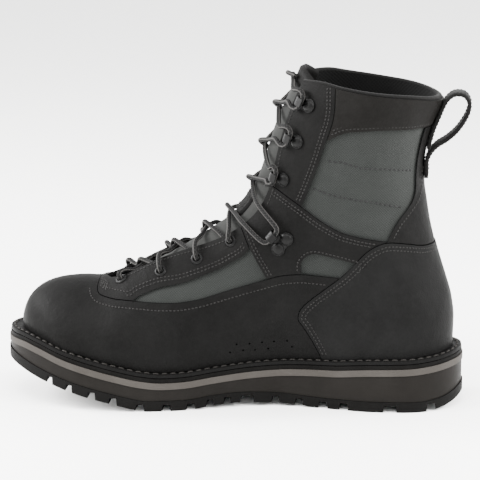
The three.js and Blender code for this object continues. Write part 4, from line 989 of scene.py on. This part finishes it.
def stitchMesh(name, rows, look, finish):
    # each stitch is a flattened thread that dips in at both ends
    sections = [(-0.5, 0.45, -0.8), (-0.36, 1.0, 0.0), (0.0, 1.05, 0.25), (0.36, 1.0, 0.0), (0.5, 0.45, -0.8)]
    around = 6
    angles = np.arange(around) * 2 * np.pi / around
    points, faces = [], []
    for row in rows:
        if row is None:
            continue
        for centre, way, out, across in zip(*row):
            start = len(points) * around
            for t, size, lift in sections:
                middle = centre + way * look["length"] * t + out * look["high"] * lift
                points.append(middle + np.outer(np.cos(angles), across * look["wide"] * size)
                              + np.outer(np.sin(angles), out * look["high"] * size))
            faces += tubeFaces(len(sections), around, start)
            end = start + (len(sections) - 1) * around
            faces += [tuple(range(start + around - 1, start - 1, -1)), tuple(range(end, end + around))]
    return keep(meshObject(name, np.vstack(points), faces, finish, smooth=80.0))


def sideRow(line, side, lift, look):
    dense = resample(line, 0.7)
    x, z = dense[:, 0], dense[:, 1]
    return stitchesAlong(onForm(x, z, side, lift), formNormal(x, z, side), look)


backZ = np.linspace(232, 20, 60)
silhouette = np.vstack([frontXZ, np.stack([backLine(backZ), backZ], axis=1), [(300, 20)]])


seamLook = {"step": 0.8, "front": 4.0, "back": 1.0, "flange": 3.2, "throat": 1.8, "cover": 1.2,
            "collar": 0.985, "collarFall": 0.03, "shortest": 8}  # how far seams stay from each border, mm


def edgeRuns(name, inset, covers):
    # the open parts of an outline, set in from its edge
    look, outline = seamLook, sideOutline(name)
    line = growOutline(outline, -inset)
    line = resample(np.vstack([line, line[:1]]), look["step"])
    x, z = line[:, 0], line[:, 1]
    free = insideOutline(line, silhouette) & insideOutline(line, outline)
    free &= (nearestFront(x, z)[0] > look["front"]) & (x > backLine(z) + look["back"])
    free &= (z > flangeTop(x) + look["flange"]) & (nearThroat(line) > look["throat"])
    free &= z < look["collar"] * last["shaftHeight"] - look["collarFall"] * (120 - x)
    for cover in covers:
        free &= ~insideOutline(line, growOutline(sideOutline(cover), overlayLook["seamGap"] + look["cover"]))
    runs, start = [], None
    for i, kept in enumerate([*free, False]):
        if kept and start is None:
            start = i
        if not kept and start is not None:
            if i - start > look["shortest"]:
                runs.append(line[start:i])
            start = None
    return runs


throatLine = np.array([[*frontSurface(length, throatHalfAt(length))[[0, 2]]]
                       for length in np.linspace(vampLength + 0.5, collarLength, 160)])


def nearThroat(line):
    return np.array([np.linalg.norm(throatLine - point, axis=1).min() for point in line])


stitchedEdges = [  # outline, insets, covered by
    ("counter", (2.4, 4.8), []), ("guard", (5.2,), ["counter"]), ("band", (2.2, 4.3), ["counter", "guard"]),
    ("lowerFacing", (2.2, 4.2), ["guard", "band"]), ("shaftFacing", (2.2, 4.2), ["band"]),
    ("cuff", (2.3, 4.4), ["shaftFacing"]), ("backstay", (2.2,), ["counter", "cuff"]),
]
quiltLines = [[(91, 169.5), (81.8, 169.1), (68.8, 165.1), (52, 163.7), (36, 161)],
              [(100.8, 150.9), (88.3, 146.7), (75.1, 144.2), (61.4, 142), (42, 137.4)]]
throatRuns = {"lowerFacing": (vampLength + 8, vampLength + 92),
              "shaftFacing": (collarLength - 84, collarLength - 4)}
throatInset = 2.4
bartackLook = {"ends": ((0.79, 77.5), (0.77, 76.0)), "rows": (-1.6, 2.0, 0.62), "lift": 0.15}
windowLook = {"inset": 2.2, "above": 93.5}  # the guard covers the window's lower edge
for sideName, side in sides:
    for outlineName, insets, covers in stitchedEdges:
        lift = last["gap"] + thickness[outlineName] + 0.1
        rows = [sideRow(run, side, lift, stitchLook)
                for inset in insets for run in edgeRuns(outlineName, inset, covers)]
        if outlineName == "band":
            grown = growOutline(sideOutline("window"), windowLook["inset"])
            grown = resample(np.vstack([grown, grown[:1]]), seamLook["step"])
            rows.append(sideRow(grown[grown[:, 1] > windowLook["above"]], side, lift, stitchLook))
        if outlineName in throatRuns:
            spots = [frontSurface(length, throatHalfAt(length) + throatInset)[[0, 2]]
                     for length in np.linspace(*throatRuns[outlineName], 90)]
            rows.append(sideRow(np.array(spots), side, lift, stitchLook))
        stitchMesh(f"stitches_{outlineName}_{sideName}", rows, stitchLook, "thread")
    tack = np.array([(at * sole["length"], z) for at, z in bartackLook["ends"]])
    lift = last["gap"] + thickness["lowerFacing"] + bartackLook["lift"]
    bars = [sideRow(resample(tack + (0.0, low), 0.4), side, lift, stitchLook)
            for low in np.arange(*bartackLook["rows"])]
    stitchMesh(f"bartack_{sideName}", bars, stitchLook, "thread")
    rows = [sideRow(np.array(line), side, 0.12, quiltLook) for line in quiltLines]
    stitchMesh(f"quilting_{sideName}", rows, quiltLook, "quiltThread")

shares = (1 - np.cos(np.pi * np.linspace(0, 1, 700))) / 2
edgeX, edgeMedial, edgeLateral = outlineAt(shares, *[weltStitchLook["inset"]] * 3)
weltRing = np.vstack([np.stack([edgeX, y, flangeTop(edgeX) + weltStitchLook["lift"]], axis=1)[::order]
                      for y, order in ((edgeMedial, 1), (edgeLateral, -1))])
weltUp = np.zeros(weltRing.shape) + (0.0, 0.0, 1.0)
rows = [stitchesAlong(weltRing, weltUp, weltStitchLook)]
stitchMesh("welt_stitches", rows, weltStitchLook, "weltThread")
print("stitches done")


# The sole, from the floor up to the footbed
def soleLayer(name, lower, upper, inset, finish, node, bevel):
    obj = soleShape(name, lower, upper, inset, finish)
    roundEdges(obj, bevel)
    keep(obj, node)


def roundEdges(obj, width, segments=3, angle=50.0):
    modifier = obj.modifiers.new("round", "BEVEL")
    modifier.width = width / 1000.0
    modifier.segments = segments
    modifier.limit_method = "ANGLE"
    modifier.angle_limit = math.radians(angle)
    modifier.use_clamp_overlap = True
    applyModifiers(obj)
    smoothByAngle(obj, 45.0)


lugLook = {"depth": 4.4, "cutWide": 4.6, "channel": (20.0, 24.0), "flare": 1.1}
cutRows = [(0.066, 1.0), (0.154, 1.7), (0.254, 1.0), (0.299, 1.1), (0.352, 0.9), (0.403, 0.9), (0.464, 1.7),
           (0.506, 0.8), (0.542, 0.8), (0.582, 1.0), (0.633, 1.0), (0.689, 1.0), (0.747, 1.0), (0.794, 1.0),
           (0.845, 0.9), (0.89, 0.8)]
tread = lambda x: treadHeight(x / sole["length"])
lugTop = lambda x: tread(x) + lugLook["depth"]


def makeOutsole():
    obj = soleShape("outsole_rubber", tread, outsoleTop, 0.0, "outsole")
    ring = soleShape("channel", lambda x: 0 * x - 4, lugTop, lugLook["channel"][0], "outsole")
    core = soleShape("core", lambda x: 0 * x - 5, lambda x: lugTop(x) + 1, lugLook["channel"][1], "outsole")
    cutWith(ring, core, "DIFFERENCE")
    cutWith(obj, ring, "DIFFERENCE")
    for at, wide in cutRows:
        x, half = at * sole["length"], wide * lugLook["cutWide"] / 2
        top = float(lugTop(x))
        foot = half * lugLook["flare"] + 1
        outline = [(x - foot, -4), (x + foot, -4), (x + half, top), (x - half, top)]
        cutWith(obj, makePrism("lugCut", np.array(outline), -sole["ballWidth"], sole["ballWidth"]), "DIFFERENCE")
    roundEdges(obj, 0.45, 2, 40.0)
    tidyMesh(obj, 45.0)
    keep(obj, "outsole")


makeOutsole()
gap = last["gap"]
footbedLook = {"lift": 0.05, "thick": 4.5, "inset": 11.4}
footbedTop = lambda x: stripTop(x) + gap + footbedLook["thick"]
for name, lower, lift, upper, inset, node, bevel in (
        ("midsole_body", outsoleTop, 0.02, midsoleTop, sole["midsoleInset"], "midsole", 0.6),
        ("midsole_wrap", midsoleTop, 0.02, stripTop, sole["stripInset"], "midsole_strip", 0.8),
        ("welt_edge", stripTop, 0.02, weltTop, sole["weltInset"], "welt", 0.6),
        ("footbed", weltTop, footbedLook["lift"], footbedTop, footbedLook["inset"], "insole", 0.8)):
    soleLayer(name, lambda x: lower(x) + lift, upper, inset, node, node, bevel)
print("sole done")


# Pieces made by carrying a section along a line
def frames(points):
    # directions along a line, carried without twist
    ways = unit(np.gradient(points, axis=0))
    normals = [unit(np.cross(ways[0], (0.3, 0.2, 0.9)))]
    for way in ways[1:]:
        normals.append(unit(normals[-1] - way * normals[-1].dot(way)))
    normals = np.array(normals)
    return ways, normals, np.cross(ways, normals)


def sweep(name, line, section, finish, first=None, second=None):
    # a closed section carried along a line; section rows are (first, second) offsets in mm
    points, section = np.asarray(line, float), np.asarray(section, float)
    if first is None:
        _, first, second = frames(points)
    around, end = len(section), (len(points) - 1) * len(section)
    rings = points[:, None] + first[:, None] * section[None, :, :1] + second[:, None] * section[None, :, 1:]
    faces = tubeFaces(len(points), around)
    faces += [tuple(range(around - 1, -1, -1)), tuple(range(end, end + around))]
    return faceOutwards(meshObject(name, rings.reshape(-1, 3), faces, finish, smooth=60.0))


def circle(size, sides):
    angles = np.arange(sides) * 2 * np.pi / sides
    return np.stack([np.cos(angles), np.sin(angles)], axis=1) * size


def curveThrough(points, perStep=10):
    count = (len(points) - 1) * perStep
    return np.array([smoothCurve(points, i / count) for i in range(count + 1)])


# Tongue, collar and pull loop
tongueLook = {"sag": 5.2, "sagTop": 1.6, "clear": 1.8, "start": 10, "rows": 90, "columns": 36,
              "leatherTop": 16.0, "rise": 7.2, "fill": 0.6, "topCurve": 3.5, "narrow": 0.72, "ends": 12,
              "sideBevel": 3.0, "endBevel": 2.6, "ripple": 0.22, "rippleLength": 7.4}
throatLength = collarLength - vampLength


def tongueLift(length, off):
    under = last["wall"] + tongueLook["clear"]
    half = throatHalfAt(np.minimum(length, collarLength)) - 2
    share = (length - vampLength) / throatLength
    rise = under - mix(tongueLook["sag"], tongueLook["sagTop"], ease((share - 0.1) / 0.44))
    shape = rise * (1 - (off / np.maximum(half, 1e-6)) ** 2) * ease(share / 0.1)
    return np.where(half <= np.abs(off), -under, -under + shape)


def throatFrame(length, off):
    # a place on the form near the throat, with its outward direction
    along = frontSurface(length + 1, off) - frontSurface(length - 1, off)
    across = frontSurface(length, off + 1) - frontSurface(length, off - 1)
    out = unit(np.cross(across, along))
    flip = np.where((out * (1, 0, 1)).sum(axis=-1, keepdims=True) < 0, -1.0, 1.0)
    return frontSurface(length, off), out * flip


def overThroat(length, off, lift):
    spot, out = throatFrame(np.asarray(length, float), np.asarray(off, float))
    return spot + out * np.asarray(lift, float)[..., None]


def makeTongue():
    look = tongueLook
    rows, columns = look["rows"], look["columns"]
    share = np.linspace(0, 1, rows + 1)[:, None]
    across = np.cos(np.pi * np.linspace(0, 1, columns + 1))[None, :]
    start = vampLength - look["start"]
    length = start + (collarLength + look["rise"] - look["topCurve"] * across ** 2 - start) * share
    half = last["tongueHalf"] * mix(look["narrow"], 1, ease((length - vampLength) / throatLength / 0.4))
    off = half * across
    spot, out = throatFrame(length, off)
    lift = tongueLift(length, off)
    whole = throatLength + look["ends"]
    edge = np.minimum((1 - np.abs(across)) * half / look["sideBevel"],
                      np.minimum(share, 1 - share) * whole / look["endBevel"])
    thick = last["tongueThick"] / 2 * roundOff(np.minimum(1, edge))
    ripple = look["ripple"] * np.sin(length / look["rippleLength"]) * (1 - across ** 2)
    ripple = ripple * ease((length - vampLength - 20) / 40)
    middle = spot + out * (lift - last["tongueThick"] / 2 + ripple)[..., None]
    top, bottom = middle + out * thick[..., None], middle - out * thick[..., None]
    count = (rows + 1) * (columns + 1)
    faces = gridFaces(rows + 1, columns + 1) + gridFaces(rows + 1, columns + 1, count, flip=True)
    leatherFrom = rows - int(look["leatherTop"] / whole * rows)
    slots = [1 if (k // columns) >= leatherFrom else 0 for k in range(rows * columns)] * 2
    obj = meshObject("tongue_padding", np.vstack([top.reshape(-1, 3), bottom.reshape(-1, 3)]), faces, "tongue",
                     ["leather"], slots, smooth=60.0)
    keep(faceOutwards(obj), "tongue")


makeTongue()
tabLook = {"from": 0.5, "to": 0.585, "half": 14.0, "thick": 1.3, "rows": 17, "columns": 29, "lift": 0.15,
           "sink": 0.6, "seams": (2.0, 4.2)}


def makeTab():
    # a leather patch sewn on the tongue, between the last eyelet and the ankle lock
    look = tabLook
    rows, columns = look["rows"], look["columns"]
    share = np.linspace(look["from"], look["to"], rows)[:, None]
    across = np.linspace(1, -1, columns)[None, :]
    length, off = np.broadcast_arrays(vampLength + throatLength * share, look["half"] * across)
    spot, out = throatFrame(length, off)
    ends = np.minimum(share - look["from"], look["to"] - share) * throatLength
    high = look["thick"] * roundOff(np.minimum((1 - np.abs(across)) * look["half"], ends))
    low = tongueLift(length, off) + look["lift"]
    bottom, top = spot + out * (low - look["sink"])[..., None], spot + out * (low + high)[..., None]
    count = rows * columns
    faces = gridFaces(rows, columns) + gridFaces(rows, columns, count, flip=True)
    spots = np.arange(count).reshape(rows, columns)
    ring = [int(k) for k in (*spots[:, 0], *spots[-1, 1:], *spots[-2::-1, -1], *spots[0, -2::-1])]
    faces += ringFaces(ring, [k + count for k in ring])
    points = np.vstack([top.reshape(-1, 3), bottom.reshape(-1, 3)])
    keep(faceOutwards(meshObject("tongue_tab", points, faces, "leather", smooth=50.0)))
    rows = []
    for inset in look["seams"]:
        reach = look["half"] - inset
        first, final = look["from"] * throatLength + inset, look["to"] * throatLength - inset
        corners = [(first, reach), (final, reach), (final, -reach), (first, -reach), (first, reach)]
        path = resample(np.array(corners), 0.6)
        spot, out = throatFrame(vampLength + path[:, 0], path[:, 1])
        lift = tongueLift(vampLength + path[:, 0], path[:, 1]) + look["lift"] + look["thick"] + 0.1
        rows.append(stitchesAlong(spot + out * lift[:, None], out, stitchLook))
    stitchMesh("tongue_tab_stitches", rows, stitchLook, "thread")


makeTab()
bindingLook = {"wide": 2.0, "high": 1.6, "up": 0.4, "in": 0.3}


def makeCollar():
    ribs, middle = counts["collar"], len(formSheet) // 2
    part = slice(middle - ribs, middle + ribs + 1)
    line = curveThrough(formSheet[part, -1] + (0, 0, bindingLook["up"]), 4)
    out = unit(curveThrough(sheetNormals(formSheet)[part, -1], 4))
    up = np.cross(frames(line)[0], out)
    section = circle(1.0, 14) * (bindingLook["wide"], bindingLook["high"])
    keep(sweep("collar_binding", line - out * bindingLook["in"], section, "binding", out, up))


makeCollar()
loopLook = {"reach": 18, "thick": 2.4, "wide": 20, "round": 0.7, "seam": 2.2}
loopRows = [  # out from the back, up the shaft
    (0, 0.777), (0, 0.83), (0, 0.882), (0, 0.906), (0.06, 0.926), (0.28, 0.941), (0.64, 0.938), (0.9, 0.916),
    (1, 0.884), (0.89, 0.836), (0.6, 0.806), (0.28, 0.786), (0.1, 0.764), (0, 0.738), (0, 0.712), (0, 0.69),
]


def makeLoop():
    look = loopLook
    seat = gap + thickness["cuff"] + 0.1 + look["thick"] / 2
    line = []
    for out, up in loopRows:
        z = up * last["shaftHeight"]
        line.append((float(backLine(z)) - seat - float(swellAt(0.0, z)) - out * look["reach"], 0.0, z))
    line = curveThrough(line, 8)
    sideways = np.zeros(line.shape) + (0, 1, 0)
    normals = np.cross(frames(line)[0], sideways)
    wide, thick, bend = look["wide"] / 2, look["thick"] / 2, look["round"]
    section = []
    for corner, (a, b) in enumerate(((1, 1), (-1, 1), (-1, -1), (1, -1))):
        for t in (0.0, 0.5, 1.0):
            angle = (corner + t) * math.pi / 2
            section.append((a * (thick - bend) + bend * math.cos(angle), b * (wide - bend) + bend * math.sin(angle)))
    keep(sweep("pull_loop_webbing", line, section, "webbing", normals, sideways), "pull_loop")
    rows = []
    for off in (-wide + look["seam"], wide - look["seam"]):
        part, facing = line[4:-4] + sideways[4:-4] * off, normals[4:-4]
        for face in (1, -1):
            rows.append(stitchesAlong(part + facing * face * (thick + 0.05), facing * face, stitchLook))
    stitchMesh("pull_loop_stitches", rows, stitchLook, "thread")


makeLoop()
print("tongue, collar and loop done")

# Hardware
hardwareLook = {"hole": 2.1, "rim": 4.2, "thick": 0.9, "deep": 2.6, "base": 4.6, "wide": 3.8, "sheet": 1.2,
                "reach": 8.5, "mouth": 5.0, "lockExtra": 3.0, "rivetApart": 9.0, "lift": 2.45,
                "plate": 5.8, "domeWide": 4.0, "domeHigh": 1.7, "sunk": {"eyelet": 0.3, "lock": 0.35, "hook": 0.35}}
lacePlaces = [  # kind, along the sole, up the toe, up the shaft
    ("eyelet", 0.74, 0.884, 0.049), ("eyelet", 0.652, 0.575, 0.195), ("eyelet", 0.574, 0.292, 0.337),
    ("eyelet", 0.5, 0.01, 0.4945), ("lock", 0.386, 0, 0.506), ("hook", 0.383, 0, 0.697),
    ("hook", 0.353, 0, 0.813), ("hook", 0.328, 0, 0.92),
]


def seatAt(station, side):
    kind, at, toe, shaft = station
    x, z = at * sole["length"], toe * last["toeHeight"] + shaft * last["shaftHeight"]
    origin = formPoint(x, z, side)
    out = formNormal(x, z, side)
    step = np.hypot(frontXZ[:, 0] - x, frontXZ[:, 1] - z).argmin()
    toFront = np.array([frontXZ[step, 0] - x, 0.0, frontXZ[step, 1] - z])
    forward = unit(toFront - out * toFront.dot(out))
    up = np.cross(forward, out) * side
    return {"origin": origin, "out": out, "forward": forward, "up": up, "kind": kind, "length": frontLength[step]}


def seatPiece(obj, seat, lift):
    # moves a piece drawn with X forward, Y up the throat and Z out of the leather to its seat
    origin = place(seat["origin"] + seat["out"] * lift)
    matrix = Matrix([[*row] for row in np.stack([seat["forward"], seat["up"], seat["out"]], axis=1)]).to_4x4()
    matrix.translation = Vector(origin)
    obj.data.transform(matrix)
    if matrix.determinant() < 0:
        obj.data.flip_normals()


def localMesh(name, points, faces):
    # a mesh in mm round its own seat
    moved = np.asarray(points, float) + (heelRestAt, 0, 0)
    return faceOutwards(meshObject(name, moved, faces, "hardware", smooth=50.0))


def makeEyelet(name):
    hole, rim, deep = hardwareLook["hole"], hardwareLook["rim"], hardwareLook["deep"]
    profile = [(hole, -deep), (hole, 0.1), (hole + 0.25, 0.65), (hole + 0.8, 0.95), (rim - 0.9, 0.85),
               (rim - 0.25, 0.45), (rim, 0.0), (hole + 0.5, 0.0), (hole + 0.5, -deep)]
    sides, count = 28, len(profile)
    points = [(r * math.cos(2 * math.pi * i / sides), r * math.sin(2 * math.pi * i / sides), z)
              for i in range(sides) for r, z in profile]
    faces = [(i * count + k, ((i + 1) % sides) * count + k, ((i + 1) % sides) * count + (k + 1) % count,
              i * count + (k + 1) % count) for i in range(sides) for k in range(count)]
    # a dark disc closes the hole
    start, around = len(points), 16
    points += [(x, y, z) for z in (-1.6, -2.2) for x, y in circle(hole * 1.1, around)]
    faces += [tuple(range(start, start + around)), tuple(range(start + 2 * around - 1, start + around - 1, -1))]
    faces += tubeFaces(2, around, start)
    return localMesh(name, points, faces)


def addDome(bottom, radius, height, up):
    # a rivet head made from a sphere, flattened
    deselectAll()
    bpy.ops.mesh.primitive_uv_sphere_add(segments=20, ring_count=10, radius=radius / 1000.0)
    dome = bpy.context.object
    move = Matrix.Translation((0, up / 1000.0, bottom / 1000.0))
    dome.data.transform(move @ Matrix.Diagonal((1, 1, height / radius, 1)))
    dome.data.materials.append(finishes["hardware"])
    return dome


def addDisc(radius, thick, up):
    deselectAll()
    bpy.ops.mesh.primitive_cylinder_add(vertices=36, radius=radius / 1000.0, depth=thick / 1000.0)
    disc = bpy.context.object
    disc.data.transform(Matrix.Translation((0, up / 1000.0, thick / 2000.0)))
    disc.data.materials.append(finishes["hardware"])
    roundEdges(disc, 0.3, 3, 30.0)
    return disc


def makeNeck(reach, wide):
    sheet = hardwareLook["sheet"]
    bend = hardwareLook["mouth"] / 2 + sheet
    centreX = reach - bend
    arc = lambda size: [(centreX + size * math.cos(angle), bend + size * math.sin(angle))
                        for angle in np.linspace(-np.pi / 2, np.pi / 2, 13)]
    outer = [(0.0, 0.0), (centreX, 0.0)] + arc(bend)[1:] + [(centreX - 3, 2 * bend)]
    inner = [(centreX - 3, 2 * bend - sheet)] + arc(bend - sheet)[::-1] + [(0.0, sheet)]
    outline = outer + inner
    count = len(outline)
    points = [(x, y, z) for y in (-wide / 2, wide / 2) for x, z in outline]
    faces = [(k, (k + 1) % count, count + (k + 1) % count, count + k) for k in range(count)]
    faces += [(layer + k, layer + k + 1, layer + count - 2 - k, layer + count - 1 - k)
              for layer in (0, count) for k in range(len(outer) - 1)]
    neck = localMesh("neck", points, faces)
    roundEdges(neck, 0.28, 2, 40.0)
    return neck


def joinAll(name, pieces):
    deselectAll()
    for piece in pieces:
        piece.select_set(True)
    bpy.context.view_layer.objects.active = pieces[0]
    bpy.ops.object.join()
    pieces[0].name = name
    smoothByAngle(pieces[0], 40.0)
    return pieces[0]


def makeHook(name, kind):
    look = hardwareLook
    lock = kind == "lock"
    neck = makeNeck(look["reach"] + (look["lockExtra"] if lock else 0), look["plate"] + (0.4 if lock else 0))
    spots = (look["rivetApart"] / 2, -look["rivetApart"] / 2) if lock else (0.0,)
    pieces = [neck]
    for up in spots:
        pieces.append(addDisc(look["base"], look["sheet"], up))
        pieces.append(addDome(look["sheet"], look["domeWide"], look["domeHigh"], up))
    if lock:
        deselectAll()
        bpy.ops.mesh.primitive_cube_add(size=1.0)
        bridge = bpy.context.object
        size = (2 * look["base"] - 2, look["rivetApart"], look["sheet"])
        move = Matrix.Translation((0, 0, look["sheet"] / 2000.0))
        bridge.data.transform(move @ Matrix.Diagonal((*(value / 1000.0 for value in size), 1)))
        bridge.data.materials.append(finishes["hardware"])
        roundEdges(bridge, 0.3, 2, 30.0)
        pieces.append(bridge)
    return joinAll(name, pieces)


seats = {}
for sideName, side in sides:
    numbers = {"eyelet": 0, "lock": 0, "hook": 0}
    for index, station in enumerate(lacePlaces):
        kind = station[0]
        numbers[kind] += 1
        seat = seats[side, index] = seatAt(station, side)
        node = {"eyelet": f"eyelet_{sideName}_{numbers[kind]}", "lock": f"ankle_lock_{sideName}",
                "hook": f"lace_hook_{sideName}_{numbers[kind]}"}[kind]
        made = makeEyelet(node + "_ring") if kind == "eyelet" else makeHook(node + "_metal", kind)
        seatPiece(made, seat, hardwareLook["lift"] - hardwareLook["sunk"][kind])
        keep(made, node)
print("hardware done")

# Laces: one dictionary for their thickness and how they spread from a station
laceShape = {"size": 3.2, "sides": 14, "spread": {"eyelet": 0.94 * 3.2, "lock": 2.2 * 3.2, "hook": 1.44 * 3.2},
             "edgeLift": 5.5,
             # the top strands by side, share of the way over and raised: one crosses the other, and both lie down
             "ends": {1: ((0, 0.1), (0.25, 0.1), (0.54, 0.0)),
                      -1: ((0, 0.1), (0.25, 0.55), (0.46, 1.15), (0.6, 0.55), (0.72, -0.12))}}


def laceHold(seat, upper):
    size, look = laceShape["size"], hardwareLook
    turn = 1 if upper else -1
    at = lambda forward, up, out: (seat["origin"] + seat["forward"] * forward + seat["up"] * up * turn
                                   + seat["out"] * (look["lift"] + out))
    if seat["kind"] == "eyelet":
        return [at(0, 0, -0.69 * size), at(0, 0, 0.56 * size), at(0.22 * size, 0.1 * size, 1.1 * size)]
    lock = seat["kind"] == "lock"
    neck = look["reach"] - look["mouth"] / 2 - look["sheet"] + (look["lockExtra"] if lock else 0)
    clear = (look["wide"] + size) / 2 + gap + (0.35 if lock else 0.12) * size
    out = look["mouth"] / 2 + look["sheet"]
    return [at(neck - 0.06 * size, 0.1 * size, out), at(neck - 0.06 * size, clear - 0.25 * size, out),
            at(neck + 0.31 * size, clear + 0.5 * size, out), at(neck + 1.4 * size, clear + 0.75 * size, out)]


def strandPlace(start, end, side, share, raised):
    length = mix(start, end, share)
    off = side * (1 - 2 * share) * throatHalfAt(length)
    if abs(1 - 2 * share) > 0.95:
        lift = laceShape["edgeLift"]
    else:
        lift = tongueLift(length, off) + laceShape["size"] / 2 + gap + 0.5 + raised
    return overThroat(length, off, lift)


def laceLine(index, side):
    size, spread = laceShape["size"], laceShape["spread"]
    lower = seats[side, index]
    start = lower["length"] + spread[lower["kind"]]
    if index + 1 == len(lacePlaces):
        end = collarLength + 0.3 * last["tongueRise"]
        return laceHold(lower, True) + [strandPlace(start, end, side, share, raised * size)
                                        for share, raised in laceShape["ends"][side]]
    upper = seats[-side, index + 1]
    end = upper["length"] - spread[upper["kind"]]
    low, middle = 0.28 * size, (0.0 if side > 0 else 1.25) * size
    points = laceHold(lower, True) + [strandPlace(start, end, side, share, raised)
                                      for share, raised in ((0, 0), (0.25, low), (0.5, middle), (0.75, low))]
    if upper["kind"] == "eyelet":
        dive = mix(start, end, 0.96)
        points += [strandPlace(start, end, side, 0.88, 0.1),
                   overThroat(dive, -side * 0.98 * throatHalfAt(dive), -1.2)]
    else:
        points += [strandPlace(start, end, side, 1.0, 0)] + laceHold(upper, False)[::-1]
    return points


def eased(line, rounds):
    # takes the kinks out of a line; its ends stay where they are
    line = resample(line, 0.5)
    for _ in range(rounds):
        line[1:-1] += 0.5 * (0.5 * (line[:-2] + line[2:]) - line[1:-1])
    return resample(line, 0.8)


def makeStrands(index):
    around = laceShape["sides"]
    for sideName, side in sides:
        line = eased(curveThrough([np.asarray(point, float) for point in laceLine(index, side)], 12), 14)
        strand = sweep(f"lace_{index + 1}_{sideName}", line, circle(laceShape["size"] / 2, around), "lace")
        lengths = lengthsAlong(line)
        layer = strand.data.uv_layers.new(name="laceMap")
        for polygon in strand.data.polygons:
            spots = [strand.data.loops[loop].vertex_index for loop in polygon.loop_indices]
            turns = [spot % around for spot in spots]
            wrap = max(turns) - min(turns) > around / 2
            for loop, spot, turn in zip(polygon.loop_indices, spots, turns):
                share = (around if wrap and turn == 0 else turn) / around
                layer.data[loop].uv = (share, float(lengths[min(len(lengths) - 1, spot // around)]))
        keep(strand, f"lace_crossing_{index + 1}" if side > 0 else None)


for index in range(len(lacePlaces)):
    makeStrands(index)
print("laces done")
